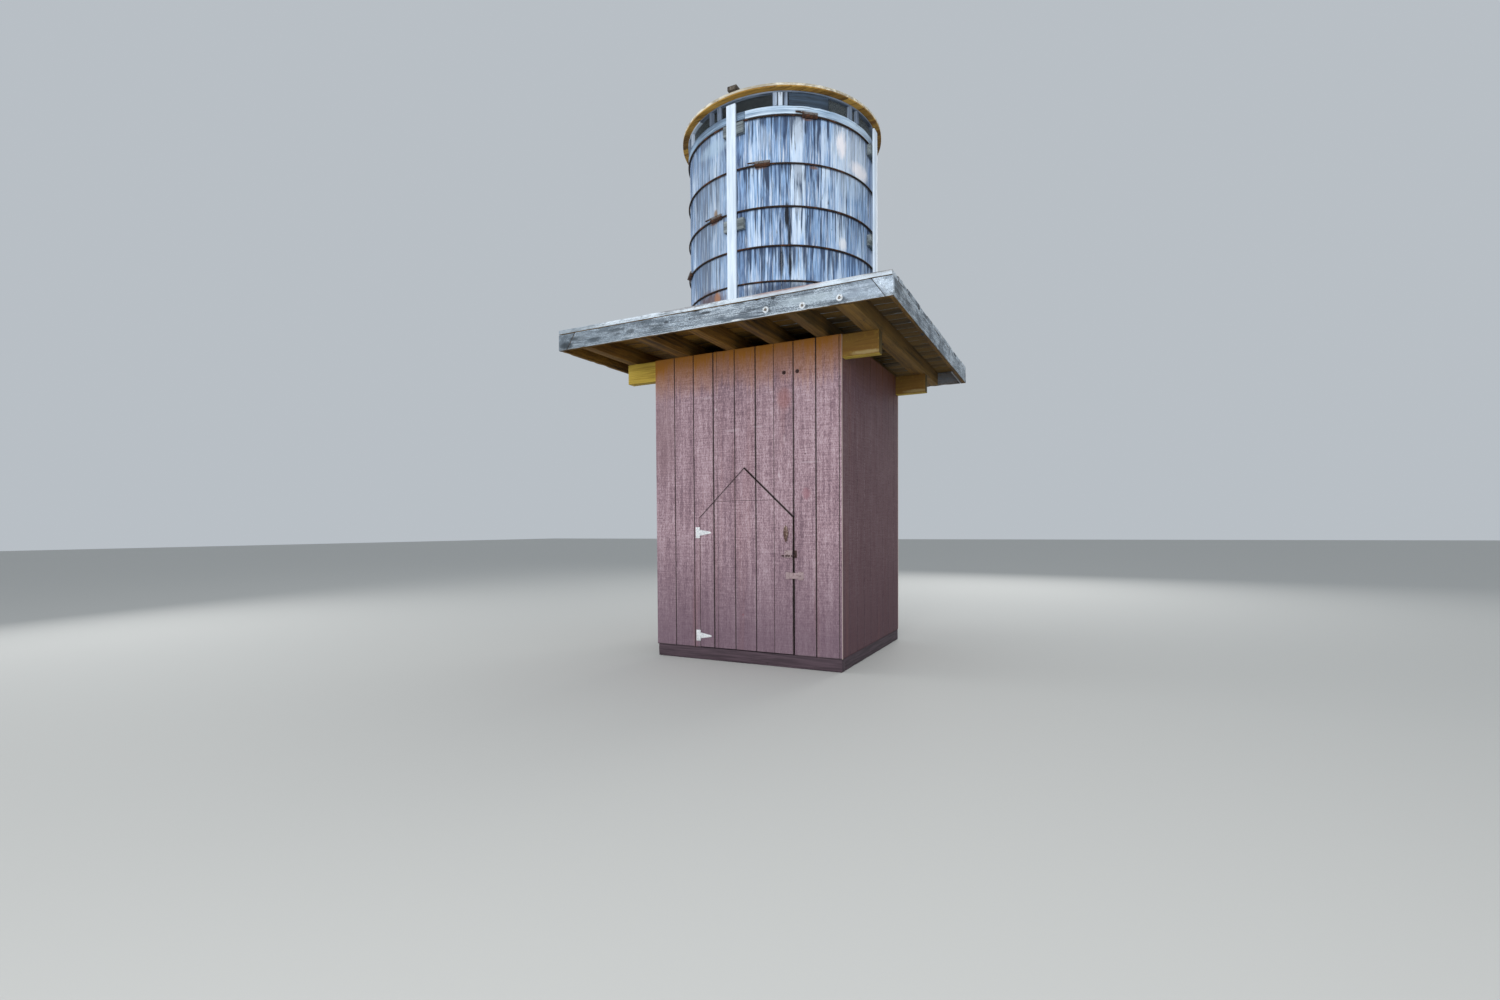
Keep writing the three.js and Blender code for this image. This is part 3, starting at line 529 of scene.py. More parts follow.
staveMarks = [
    (-63.0, 3.82, 1.9, 0.13, "0e131d", 0.97),
    (-61.9, 3.67, 1.1, 0.16, "0e131d", 0.97),
    (-61.5, 3.44, 1.2, 0.18, "10151f", 0.95),
    (-66.1, 3.44, 1.4, 0.17, "141a27", 0.95),
    (-45.6, 4.14, 0.8, 0.11, "2a3550", 0.85),
    (-73.2, 4.13, 0.8, 0.13, "2c3851", 0.8),
    (-44.0, 3.69, 0.6, 0.18, "2a3550", 0.85),
    (-52.8, 4.57, 0.9, 0.07, "303b52", 0.85),
    (-45.9, 4.47, 0.8, 0.12, "303b52", 0.8),
    (-112.0, 3.9, 22.0, 1.3, "8796a8", 0.45),
    # The next four: painted sunlight patches on the right of the tank.
    (-20.0, 4.45, 20.0, 0.26, "d5dfea", 0.5),
    (-30.2, 4.49, 4.2, 0.13, "f6f2f6", 0.9),
    (-14.5, 4.345, 10.0, 0.09, "f6f2f6", 0.85),
    (-29.3, 3.64, 3.4, 0.07, "eceef4", 0.8),
    (-56.6, 4.5, 3.4, 0.18, "cddcee", 0.7),
    (-56.6, 4.23, 3.2, 0.15, "cddcee", 0.55),
    (-57.2, 3.94, 2.8, 0.15, "cddcee", 0.5),
    (-57.6, 3.68, 2.6, 0.14, "cddcee", 0.5),
    # Painted sunlight on the right of the tank.
    (-24.0, 4.18, 16.0, 0.14, "c0d2e6", 0.45),
    (-42.0, 4.48, 2.6, 0.15, "c6d4e6", 0.5),
    (-75.5, 4.48, 3.6, 0.12, "b7c9de", 0.4),
    (-67.0, 4.56, 4.0, 0.09, "4f6b93", 0.5),
    (-68.5, 4.18, 2.4, 0.14, "4a648c", 0.45),
    (-24.0, 3.42, 13.0, 0.22, "6c94c9", 0.35),
    (-108.0, 4.53, 14.0, 0.08, "a8bfd3", 0.6),
    (-106.7, 3.95, 1.8, 0.05, "84663c", 0.8),
    (-108.0, 3.88, 4.5, 0.018, "6e4a30", 0.75),
    (-77.4, 4.24, 4.2, 0.018, "6e4c34", 0.75),
    (-48.0, 4.236, 3.2, 0.016, "745236", 0.75),
    (-51.4, 4.634, 3.4, 0.016, "6e4e38", 0.7),
    (-112.0, 3.19, 16.0, 0.13, "5e4748", 0.85),
    (-106.0, 3.2, 2.8, 0.1, "a87450", 0.8),
    (-62.0, 3.19, 34.0, 0.11, "26334c", 0.8),
    (-65.0, 2.974, 75.0, 0.028, "222f46", 0.85),
]


def hoopLevels(tree, height, stops, interpolation):
    top, bottom = hoopHeights[0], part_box("staves_left_front")[0].z
    share = mapped(tree, height, bottom, top)
    places = [((at - bottom) / (top - bottom), level) for at, level in stops]
    placed = sorted((min(max(place, 0.0), 1.0), level) for place, level in places)
    greys = [(place, (level, level, level, 1.0)) for place, level in placed]
    return ramp(tree, share, greys, interpolation)


def staveFinish():
    look = {**timberBase, **staveBlue}
    runs = staveRuns
    finish, tree, shader = startFinish("staveTimber")
    place = placeOf(tree)
    level = axesOf(tree, place)["Z"]

    steps = [(at, (1 + order) / len(hoopHeights)) for order, at in enumerate(hoopHeights)]
    band = hoopLevels(tree, level, steps, "CONSTANT")
    fades = []
    for at in hoopHeights:
        fades += [(at - runs["fade"], 0.0), (at - runs["joint"], 1.0), (at + runs["joint"], 0.0)]
    under = hoopLevels(tree, level, fades, "LINEAR")
    jump = maths(tree, "MULTIPLY", band, runs["bandShift"])
    jump = addNode(tree, "CombineXYZ", {"X": jump, "Y": jump}).outputs[0]
    colour, height, layers = timberPattern(tree, look, jump)

    flow = layers["flow"]
    wide = noiseAt(tree, moved(tree, flow, runs["wideShift"]), runs["wide"], **ragged)
    narrow = noiseAt(tree, moved(tree, flow, runs["narrowShift"]), runs["narrow"], **torn)
    shares = {
        "pale": plusShare(tree, narrow, under, -runs["paleDrop"]),
        "dark": plusShare(tree, wide, under, runs["lift"]),
        # painted shadow just under each hoop
        "line": under,
    }
    for run, share in shares.items():
        colour = paintBand(tree, colour, share, runs, run)

    around = axesOf(tree, moved(tree, place, (-tankCentre.x, -tankCentre.y, 0.0)))
    angle = maths(tree, "DEGREES", maths(tree, "ARCTAN2", around["Y"], around["X"]))
    edge = noiseAt(tree, stretched(tree, layers["grain"], runs["edgeFlow"]), runs["edge"], **torn)
    colour = addMarks(tree, colour, angle, level, edge, staveMarks)
    closeFinish(tree, shader, colour, height, look["relief"], look["rough"])
    return finish


finishes["stave"] = staveFinish()


# Painted siding: rough sawn face, grooves darkened and foot dulled by painted shade, top browner by stain
# and painted shade
sidingLook = {
    "paint": "957a83", "worn": "bba5ad", "deep": "67505b",
    "stops": [(0.435, "deep"), (0.575, "worn"), (0.5, "paint")],
    # top: the wall's brown stain together with painted shade under the platform
    "top": "9a6218", "topFrom": -0.08, "topFull": 0.28, "topShare": 1.0, "topWaver": 0.30,
    # foot: painted shade low on the wall
    "foot": "634e5c", "footFrom": 1.15, "footFull": 0.25, "footShare": 0.75,
    "groove": "150b0b", "grooveFrom": 0.0008, "grooveFull": 0.0020,
    # hem: a painted shadow line along the siding's lower edge
    "hem": "150b0b", "hemFrom": 0.120, "hemFull": 0.114, "hemShare": 0.8,
    # painted shade on the walls that don't face the front
    "sideShade": "4c242a", "sideShadeFrom": 1.0, "sideShadeFull": 0.0, "sideShadeShare": 0.75,
    "red": "8d5a50", "redScale": 7.0, "redShift": (4.0, 2.0, 0.3),
    "redFrom": 0.58, "redFull": 0.72, "redShare": 0.20,
    "raw": "8a6a48", "rawFrom": 0.0148, "rawFull": 0.0156, "rawSpread": 0.1,
    "edge": "d2bdb4", "edgeTurn": 0.9, "sheet": 0.0162,
    "peak": (0.925, 1.710), "fall": 0.935, "slopeFoot": 1.283, "slopeShadeWide": 0.018, "dirtAndShadeFull": 0.006,
    "slopeShadeLeft": 0.35, "slopeShadeRight": 0.85, "slopeShadeTurn": 0.01,
    "rough": 0.84, "relief": 0.0011, "speckRelief": 0.7, "markScale": 60.0,
    # Each layer of the surface: its stretch, scale, detail and roughness, and its share in the shade
    "layers": {
        "fibre": ((1.0, 1.0, 0.05), 260.0, 5.0, 0.70, 0.28),
        "streak": ((1.0, 1.0, 0.05), 44.0, 4.0, 0.60, 0.18),
        "speck": ((1.0, 1.0, 0.35), 190.0, 3.0, 0.70, 0.30),
        "patch": ((1.0, 1.0, 0.4), 3.2, 3.0, 0.60, 0.10),
        "saw": ((0.05, 0.05, 1.0), 120.0, 2.0, 0.60, 0.14),
    },
    "marks": [
        # The first five: painted shade lines down grooves and along the door's latch edge.
        (0.617, 1.4, 0.011, 3.0, "1d1013", 0.7),
        (1.036, 1.9, 0.011, 1.3, "1d1013", 0.75),
        (1.388, 0.65, 0.016, 0.95, "150b0b", 0.85),
        (1.391, 1.9, 0.011, 1.4, "1d1013", 0.6),
        (1.592, 1.4, 0.01, 3.0, "1d1013", 0.55),
        (0.06, 2.05, 0.2, 0.5, "7c6267", 0.5),
        (0.558, 2.35, 0.08, 0.01, "b5a3aa", 0.5),
        (0.812, 2.045, 0.09, 0.012, "b5a3aa", 0.5),
        (1.06, 2.062, 0.07, 0.01, "b5a3aa", 0.45),
        (1.528, 1.734, 0.11, 0.008, "baa9b0", 0.5),
        (1.308, 2.274, 0.08, 0.11, "935f5c", 0.45),
        (1.505, 1.471, 0.045, 0.06, "8f5a63", 0.5),
        (1.256, 1.64, 0.012, 0.03, "c4b4bb", 0.6),
        (1.306, 1.938, 0.014, 0.05, "bfaab0", 0.5),
        (0.644, 2.243, 0.01, 0.014, "c9bcc1", 0.7),
        (0.905, 0.429, 0.012, 0.012, "7a3f48", 0.6),
        (1.497, 1.803, 0.008, 0.008, "4a2c33", 0.9),
    ],
}


def sidingFinish():
    look = sidingLook
    finish, tree, shader = startFinish("sidingPaint")
    place = placeOf(tree)
    axes = axesOf(tree, place)
    layers, shade = {}, 0.0
    for layer, (stretch, scale, detail, roughness, share) in look["layers"].items():
        layers[layer] = noiseAt(tree, stretched(tree, place, stretch), scale, detail, roughness)
        shade = plusShare(tree, shade, layers[layer], share)
    colour = ramp(tree, shade, [(at, tint(look[name])) for at, name in look["stops"]])
    waver = maths(tree, "SUBTRACT", axes["Z"], shedHigh.z)
    for layer in ("patch", "streak"):
        waver = plusShare(tree, waver, layers[layer], look["topWaver"])
    facing = frontShare(tree)
    # A browner top of stain and painted shade, then painted shade at the foot, along the lower edge and on
    # the walls that don't face the front.
    for band, value in (("top", waver), ("foot", axes["Z"]), ("hem", axes["Z"]), ("sideShade", facing)):
        colour = paintBand(tree, colour, value, look, band)
    flow = stretched(tree, place, look["layers"]["streak"][0])
    reddish = noiseAt(tree, moved(tree, flow, look["redShift"]), look["redScale"])
    colour = paintBand(tree, colour, reddish, look, "red")
    edge = noiseAt(tree, stretched(tree, place, longSpots), look["markScale"], **torn)
    across = maths(tree, "SUBTRACT", axes["X"], shedLow.x)
    colour = addMarks(tree, colour, across, axes["Z"], edge, look["marks"], facing)

    # Painted shade along the two slopes over the door, heavier at the right.
    beside = maths(tree, "SUBTRACT", across, look["peak"][0])
    roof = plusShare(tree, axes["Z"], maths(tree, "ABSOLUTE", beside), look["fall"])
    dirtAndShade = mapped(tree, apart(tree, roof, look["peak"][1]), look["slopeShadeWide"], look["dirtAndShadeFull"])
    weight = mapped(tree, beside, -look["slopeShadeTurn"], look["slopeShadeTurn"], look["slopeShadeLeft"], look["slopeShadeRight"])
    above = maths(tree, "GREATER_THAN", axes["Z"], look["slopeFoot"])
    for share in (weight, above, facing):
        dirtAndShade = maths(tree, "MULTIPLY", dirtAndShade, share)
    colour = painted(tree, colour, dirtAndShade, look["groove"])

    # How far behind the shed's outer face a place lies, across both walls of each corner.
    inward = apart(tree, axes["Y"], shedCentre.y)
    widest = maths(tree, "MAXIMUM", apart(tree, axes["X"], shedCentre.x), inward)
    depth = maths(tree, "SUBTRACT", shedHalf, widest)
    # Painted shade in the grooves and gaps: whatever lies behind the outer face goes dark.
    colour = paintBand(tree, colour, depth, look, "groove")
    tan = dict(zip(colourParts, woodColours["framing"]))
    raw = shadeRamp(tree, shade, (tan["dark"], look["raw"], tan["light"]), look["rawSpread"])
    colour = colourMix(tree, bandOf(tree, depth, look, "raw"), colour, raw)
    sideways = maths(tree, "ABSOLUTE", normalAxes(tree)["X"])
    sheetEdge = maths(tree, "GREATER_THAN", sideways, look["edgeTurn"])
    fromFace = maths(tree, "SUBTRACT", shedHalf, inward)
    for behind, limit in ((fromFace, look["sheet"]), (depth, look["grooveFrom"])):
        sheetEdge = maths(tree, "MULTIPLY", sheetEdge, maths(tree, "LESS_THAN", behind, limit))
    colour = painted(tree, colour, sheetEdge, look["edge"])
    relief = plusShare(tree, layers["fibre"], layers["speck"], look["speckRelief"])
    closeFinish(tree, shader, colour, relief, look["relief"], look["rough"])
    return finish


# Each paint: its name, paint, worn paint, bare ground, where it flakes, roughness and relief
paints = {
    "sill": ("sillPaint", "4e3d46", "382a32", "2f2420", 0.66, 0.8, 0.0012),
    "white": ("whitePaint", "deebf9", "c6d5e4", "a0acb8", 0.70, 0.5, 0.0005),
}
paintBase = {
    "flow": (1.0, 1.0, 0.05), "streak": (60.0, 5.0, 0.6), "stops": (0.40, 0.60),
    "flakes": (1.0, 1.0, 0.3), "flake": (26.0, 6.0, 0.7), "flakeSoft": 0.02, "flakeRelief": -0.8,
}
# Each metal: its name, colour, second colour and its share, scale, roughness, metalness and relief
metals = {
    "rust": ("hoopRust", "33261f", "5f3b26", 0.35, 22.0, 0.85, 0.25, 0.0012),
    "lug": ("lugRust", "3a271d", "5f3c28", 0.60, 30.0, 0.88, 0.2, 0.0012),
    "yoke": ("yokeIron", "7d7a79", "5d4a3e", 0.45, 34.0, 0.80, 0.2, 0.0010),
    "zinc": ("hingeZinc", "f3f5f7", "d6dade", 0.5, 60.0, 0.38, 0.25, 0.0002),
    "iron": ("doorIron", "4a3230", "2c1d1b", 0.5, 70.0, 0.45, 0.5, 0.0004),
    # The pull's pale second colour is painted highlight, in patches.
    "pull": ("pullIron", "5d433b", "a08a7c", 0.35, 60.0, 0.40, 0.3, 0.0004),
    "paintedIron": ("paintedIron", "a58f92", "6a4f50", 0.25, 50.0, 0.6, 0.1, 0.0003),
    "wire": ("screenWire", "8e999f", "626c72", 0.4, 90.0, 0.5, 0.6, 0.0001),
    "washer": ("washerZinc", "dfe6ec", "a8a49f", 0.40, 80.0, 0.45, 0.4, 0.0003),
    "nut": ("nutIron", "8b867f", "4a3c33", 0.50, 90.0, 0.60, 0.4, 0.0003),
}
metalBase = {
    "cloud": (6.0, 0.65), "fine": (4.0, 0.6), "fineScale": 6, "patchFrom": 0.62, "patchFull": 0.70,
    "patchPull": 0.25, "dirtAndShade": "000000", "dirtAndShadeFrom": 0.4, "dirtAndShadeFull": 0.6, "dirtAndShadeShare": 0.25,
    "fineRelief": 0.6,
}


def paintFinish(name, paint, worn, bare, chip, rough, relief):
    finish, tree, shader = startFinish(name)
    grain = addNode(tree, "Attribute", attribute_name="grain").outputs["Vector"]
    streak = noiseAt(tree, stretched(tree, grain, paintBase["flow"]), *paintBase["streak"])
    colour = ramp(tree, streak, list(zip(paintBase["stops"], (tint(worn), tint(paint)))))
    flake = noiseAt(tree, stretched(tree, grain, paintBase["flakes"]), *paintBase["flake"])
    flake = mapped(tree, flake, chip, chip + paintBase["flakeSoft"])
    colour = painted(tree, colour, flake, bare)
    height = plusShare(tree, streak, flake, paintBase["flakeRelief"])
    closeFinish(tree, shader, colour, height, relief, rough)
    return finish


def metalFinish(name, base, second, share, scale, rough, metal, relief):
    look = metalBase
    finish, tree, shader = startFinish(name)
    place = placeOf(tree)
    cloud = noiseAt(tree, place, scale, *look["cloud"])
    fine = noiseAt(tree, place, scale * look["fineScale"], *look["fine"])
    pull = share * look["patchPull"]
    patch = mapped(tree, cloud, look["patchFrom"] - pull, look["patchFull"] - pull)
    colour = colourMix(tree, patch, tint(base), tint(second))
    # Real dirt on the metal, in dark specks.
    colour = paintBand(tree, colour, fine, look, "dirtAndShade")
    height = plusShare(tree, cloud, fine, look["fineRelief"])
    closeFinish(tree, shader, colour, height, relief, rough, metal)
    return finish


finishes["siding"] = sidingFinish()
for key, row in paints.items():
    finishes[key] = paintFinish(*row)
for key, row in metals.items():
    finishes[key] = metalFinish(*row)
print("paint and metal finishes mixed")


# Building blocks of the shapes
wearNoise = {"reach": 90.0, "slow": 5.0, "quick": 26.0, "chipFrom": 0.25}
grainReach = 40.0  # each board takes its grain from another place of the pattern
alignedShare = 0.999  # an edge that runs this far along an axis lies along it


def startBox(low, high):
    board = bmesh.new()
    bmesh.ops.create_cube(board, size=1.0)
    bmesh.ops.scale(board, vec=high - low, verts=board.verts)
    bmesh.ops.translate(board, vec=(low + high) / 2, verts=board.verts)
    return board


def splitAlong(board, axis, step):
    runs = []
    for edge in board.edges:
        run = edge.verts[1].co - edge.verts[0].co
        if abs(run[axis]) > alignedShare * run.length:
            runs.append(edge)
    cuts = round(max(edge.calc_length() for edge in runs) / step) - 1
    if cuts > 0:
        bmesh.ops.subdivide_edges(board, edges=runs, cuts=cuts, use_grid_fill=True)


def roundEdges(board, offset, segments=2):
    sharp = [edge for edge in board.edges if edge.calc_face_angle(0.0) > arrisLimit]
    bmesh.ops.bevel(board, geom=sharp, offset=offset, segments=segments, profile=0.5,
                    affect="EDGES", material=-1, clamp_overlap=True)


def markGrain(board, along, draw, tone=None):
    grain = board.verts.layers.float_vector.new("grain")
    shade = board.verts.layers.float.new("tone")
    shift = Vector([draw.uniform(0.0, grainReach) for _ in range(3)])
    value = draw.random() if tone is None else tone
    first, second = [axis for axis in range(3) if axis != along]
    for vert in board.verts:
        vert[grain] = shift + Vector((vert.co[first], vert.co[second], vert.co[along]))
        vert[shade] = value


# Wear takes wood away towards the middle of a board, so a worn board stays inside its solid.
def wearAway(board, depth, chips, draw):
    low = Vector([min(vert.co[axis] for vert in board.verts) for axis in range(3)])
    high = Vector([max(vert.co[axis] for vert in board.verts) for axis in range(3)])
    middle, half = (low + high) / 2, (high - low) / 2
    shift = Vector([draw.uniform(0.0, wearNoise["reach"]) for _ in range(3)])
    for vert in board.verts:
        slow = noise.noise_vector(vert.co * wearNoise["slow"] + shift)
        quick = noise.noise(vert.co * wearNoise["quick"] + shift)
        bite = chips * max(quick - wearNoise["chipFrom"], 0.0)
        for axis in range(3):
            side = (vert.co[axis] - middle[axis]) / half[axis]
            vert.co[axis] -= side * (depth * (0.5 + 0.5 * slow[axis]) + bite)


def makeBoard(low, high, along, wear, draw, tone=None):
    board = startBox(low, high)
    splitAlong(board, along, wear["step"])
    roundEdges(board, wear["edge"])
    markGrain(board, along, draw, tone)
    wearAway(board, wear["depth"], wear["chips"], draw)
    return board


def copySolid(node, along, edge, draw):
    shell = bmesh.new()
    shell.from_mesh(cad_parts[node].data)
    bmesh.ops.remove_doubles(shell, verts=shell.verts, dist=weldReach)
    bmesh.ops.dissolve_limit(shell, angle_limit=flatLimit, verts=shell.verts, edges=shell.edges)
    roundEdges(shell, edge)
    markGrain(shell, along, draw)
    return shell


def gather(parts):
    whole = bmesh.new()
    for part in parts:
        shell = bpy.data.meshes.new("shell")
        part.to_mesh(shell)
        part.free()
        whole.from_mesh(shell)
        bpy.data.meshes.remove(shell)
    return whole


def placePiece(name, parts, finish, nodes=(), body="tower"):
    whole = gather(parts)
    mesh = bpy.data.meshes.new(name)
    whole.to_mesh(mesh)
    whole.free()
    mesh.shade_smooth()
    mesh.set_sharp_from_angle(angle=smoothLimit)
    mesh.materials.append(finishes[finish])
    piece = bpy.data.objects.new(name, mesh)
    bpy.context.scene.collection.objects.link(piece)
    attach(piece, body)
    if nodes:
        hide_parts(*nodes)


def spot(x, y, z):
    return Vector((x, y, z))


def turnRound(part, angle):
    turn = Matrix.Rotation(math.radians(angle), 3, "Z")
    bmesh.ops.rotate(part, cent=tankCentre, matrix=turn, verts=part.verts)


# Bends a flat board round the tank: X runs round at the outer face, Y goes inwards, Z stays.
def bendRound(board, reach):
    for vert in board.verts:
        angle = vert.co.x / reach
        out = reach - vert.co.y
        vert.co.x = tankCentre.x + out * math.cos(angle)
        vert.co.y = tankCentre.y + out * math.sin(angle)


# A strip bent round the tank between two angles, with its outer face at the reach.
def bentStrip(start, end, gap, reach, thick, low, high, wear, draw):
    strip = makeBoard(spot(start * reach, 0.0, low), spot(end * reach - gap, thick, high), 0, wear, draw)
    bendRound(strip, reach)
    return strip


# A board that stands off the tank's axis along X, then turned round the tank to its place.
def boardAround(low, high, along, wear, draw, angle):
    board = makeBoard(tankCentre + low, tankCentre + high, along, wear, draw)
    turnRound(board, angle)
    return board


def rodBetween(start, end, radius, segments, cap=True):
    run = end - start
    turn = run.to_track_quat("Z", "Y").to_matrix().to_4x4()
    rod = bmesh.new()
    bmesh.ops.create_cone(rod, cap_ends=cap, segments=segments, radius1=radius, radius2=radius,
                          depth=run.length, matrix=Matrix.Translation((start + end) / 2) @ turn)
    return rod


# Staves: each one its own width and shade, as counted round the part of the tank that shows
staveLook = {
    "seed": 11,
    "seen": [(-112.4, 0.62), (-103.3, 0.45), (-94.4, 0.25), (-85.5, 0.66), (-77.4, 0.30), (-71.3, 0.45),
             (-66.3, 0.40), (-61.3, 0.80), (-52.6, 0.30), (-43.6, 0.62), (-34.7, 0.85), (-26.5, 0.45)],
    "unseen": 34,
    "waver": 0.16,
    "gap": 0.0016,
    "setBack": 0.0015,
    "endLoss": 0.006,
    "thick": 0.045,
    "wear": {"step": 0.09, "edge": 0.0022, "depth": 0.0012, "chips": 0.003},
    "across": 0.032,
}


def staveEdges(draw):
    edges = list(staveLook["seen"])
    waver = staveLook["waver"]
    start, end = edges[-1][0], edges[0][0] + fullTurn
    step = (end - start) / (staveLook["unseen"] + 1)
    for count in range(1, staveLook["unseen"] + 1):
        edges.append((start + step * (count + draw.uniform(-waver, waver)), draw.random()))
    return edges


def makeStaves():
    draw = random.Random(staveLook["seed"])
    low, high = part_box("staves_left_front")
    wear = staveLook["wear"]
    edges = staveEdges(draw)
    parts = []
    for index, (angle, tone) in enumerate(edges):
        following = edges[index + 1][0] if index + 1 < len(edges) else edges[0][0] + fullTurn
        left = math.radians(angle) * tankReach + staveLook["gap"] / 2
        right = math.radians(following) * tankReach - staveLook["gap"] / 2
        back = draw.uniform(0.0, staveLook["setBack"])
        foot = low.z + draw.uniform(0.0, staveLook["endLoss"])
        stave = startBox(spot(left, back, foot), spot(right, back + staveLook["thick"], high.z))
        splitAlong(stave, 0, staveLook["across"])
        splitAlong(stave, 2, wear["step"])
        roundEdges(stave, wear["edge"])
        markGrain(stave, 2, draw, tone)
        wearAway(stave, wear["depth"], wear["chips"], draw)
        bendRound(stave, tankReach)
        parts.append(stave)
    groups = ["staves_right_back", "staves_left_back", "staves_left_front", "staves_right_front"]
    placePiece("tankStaves", parts, "stave", groups)
    print("staves:", len(edges))


makeStaves()


# Hoops: round rods drawn tight, each joined by a cast lug with the threaded end standing out
hoopLook = {
    "rod": 0.0075, "sides": 10, "steps": 160, "turns": [-50.5, -76.3, -105.4, -139, -18, -60],
    "out": 0.0083,
}
lugLook = {
    "block": {"inner": 0.002, "outer": 0.018, "half": 0.066, "low": -0.019, "high": 0.009},
    "yoke": {"inner": 0.0138, "outer": 0.024, "half": 0.064, "low": 0.006, "high": 0.026},
    "lower": {"radius": 0.0115, "out": 0.0165, "rise": -0.003, "reach": 0.067},
    "upper": {"radius": 0.0088, "out": 0.0200, "rise": 0.018, "reach": 0.068},
    "edge": 0.004, "edgeSteps": 3, "barrelEdge": 0.0022, "barrelSides": 18,
    "tail": {
        "radius": 0.0056, "sides": 12, "end": -0.128,
        "thread": 0.0062, "pitch": 0.0036, "ridge": 0.0016, "turns": 13,
    },
    "nut": {"radius": 0.0088, "sides": 6, "from": -0.071, "to": -0.082, "edge": 0.0008},
}


def makeHoop(number, height, turn):
    ring = bmesh.new()
    stand = tankReach + hoopLook["out"]
    upright = Matrix.Rotation(math.pi / 2, 4, "X")
    upright = Matrix.Translation(tankCentre + spot(stand, 0.0, height)) @ upright
    bmesh.ops.create_circle(ring, segments=hoopLook["sides"], radius=hoopLook["rod"], matrix=upright)
    bmesh.ops.spin(ring, geom=ring.verts[:] + ring.edges[:], cent=tankCentre, axis=(0, 0, 1), dvec=(0, 0, 0),
                   angle=2 * math.pi, steps=hoopLook["steps"], use_merge=True)
    bmesh.ops.recalc_face_normals(ring, faces=ring.faces)
    name = "hoop" + str(number)
    placePiece(name + "Rod", [ring], "rust", ["hoop_" + str(number)])

    def local(out, along, rise):
        return tankCentre + spot(tankReach + out, along, height + rise)

    def casting(look):
        block = startBox(local(look["inner"], -look["half"], look["low"]),
                         local(look["outer"], look["half"], look["high"]))
        splitAlong(block, 1, look["half"] / 2)
        roundEdges(block, lugLook["edge"], lugLook["edgeSteps"])
        return block

    def lengthwise(seat, start, end, radius, sides):
        out, rise = seat["out"], seat["rise"]
        return rodBetween(local(out, start, rise), local(out, end, rise), radius, sides)

    def barrel(look):
        made = lengthwise(look, -look["reach"], look["reach"], look["radius"], lugLook["barrelSides"])
        roundEdges(made, lugLook["barrelEdge"])
        return made

    tail, nut, upper = lugLook["tail"], lugLook["nut"], lugLook["upper"]
    below = [casting(lugLook["block"]), barrel(lugLook["lower"])]
    shank = lengthwise(upper, 0.0, tail["end"], tail["radius"], tail["sides"])
    roundEdges(shank, nut["edge"], 1)
    below.append(shank)
    for count in range(tail["turns"]):
        along = tail["end"] + tail["pitch"] * (count + 1)
        below.append(lengthwise(upper, along, along + tail["ridge"], tail["thread"], tail["sides"]))
    hexNut = lengthwise(upper, nut["from"], nut["to"], nut["radius"], nut["sides"])
    roundEdges(hexNut, nut["edge"], 1)
    above = [casting(lugLook["yoke"]), barrel(upper), hexNut]
    for part in below + above:
        turnRound(part, turn)
    placePiece(name + "Lug", below, "lug")
    placePiece(name + "Yoke", above, "yoke")


for hoopNumber, (hoopHeight, lugTurn) in enumerate(zip(hoopHeights, hoopLook["turns"]), 1):
    makeHoop(hoopNumber, hoopHeight, lugTurn)
print("hoops:", len(hoopHeights))


# The bent strip round the top of the staves, in three lengths
rimLook = {
    "seed": 5,
    "joints": [-86.1, 34.0, 154.0],
    "gap": 0.002,
    "wear": {"step": 0.05, "edge": 0.0025, "depth": 0.0012, "chips": 0.008},
}


def makeRim():
    draw = random.Random(rimLook["seed"])
    low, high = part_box("rim_band")
    outer = tankCentre.x - low.x
    joints = [math.radians(joint) for joint in rimLook["joints"] + [rimLook["joints"][0] + fullTurn]]
    parts = []
    for start, end in zip(joints, joints[1:]):
        parts.append(bentStrip(start, end, rimLook["gap"], outer, outer - tankReach, low.z, high.z,
                               rimLook["wear"], draw))
    placePiece("rimStrip", parts, "rim", ["rim_band"])


makeRim()


# The vent: short blocks on the staves, a ring under the cover, a blank board in painted shade and woven wire
ventLook = {
    "seed": 23,
    "blocks": [
        -109.2, -102.8, -69.3, -66.4, -63.5, -24, -18, 17, 23, 60,
        66, 101, 107, 143, 149, 186, 192, 221, 227,
    ],
    "blockWide": 0.038, "blockInner": 0.876, "blockOuter": 0.904,
    "board": {"from": -61.8, "to": -39.0, "inner": 0.876, "outer": 0.890},
    "ring": {"high": 0.0117, "inner": 0.868, "outer": 0.905, "lengths": 6, "gap": 0.001},
    "wear": {"step": 0.03, "edge": 0.0015, "depth": 0.0008, "chips": 0.002},
}
screenLook = {"pitch": 0.0066, "wire": 0.00072, "sides": 3, "reach": 0.8735}


def makeVent():
    draw = random.Random(ventLook["seed"])
    low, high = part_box("vent_frame")
    ring, board, wear = ventLook["ring"], ventLook["board"], ventLook["wear"]
    ringLow = high.z - ring["high"]
    half = ventLook["blockWide"] / 2
    start, end = spot(ventLook["blockInner"], -half, low.z), spot(ventLook["blockOuter"], half, ringLow)
    parts = [boardAround(start, end, 2, wear, draw, angle) for angle in ventLook["blocks"]]
    step = 2 * math.pi / ring["lengths"]
    for count in range(ring["lengths"]):
        parts.append(bentStrip(count * step, (count + 1) * step, ring["gap"], ring["outer"],
                               ring["outer"] - ring["inner"], ringLow, high.z, wear, draw))
    placePiece("ventBlocks", parts, "vent", ["vent_frame"])
    blank = bentStrip(math.radians(board["from"]), math.radians(board["to"]), 0.0, board["outer"],
                      board["outer"] - board["inner"], low.z, ringLow, wear, draw)
    placePiece("ventBoard", [blank], "ventBoard")


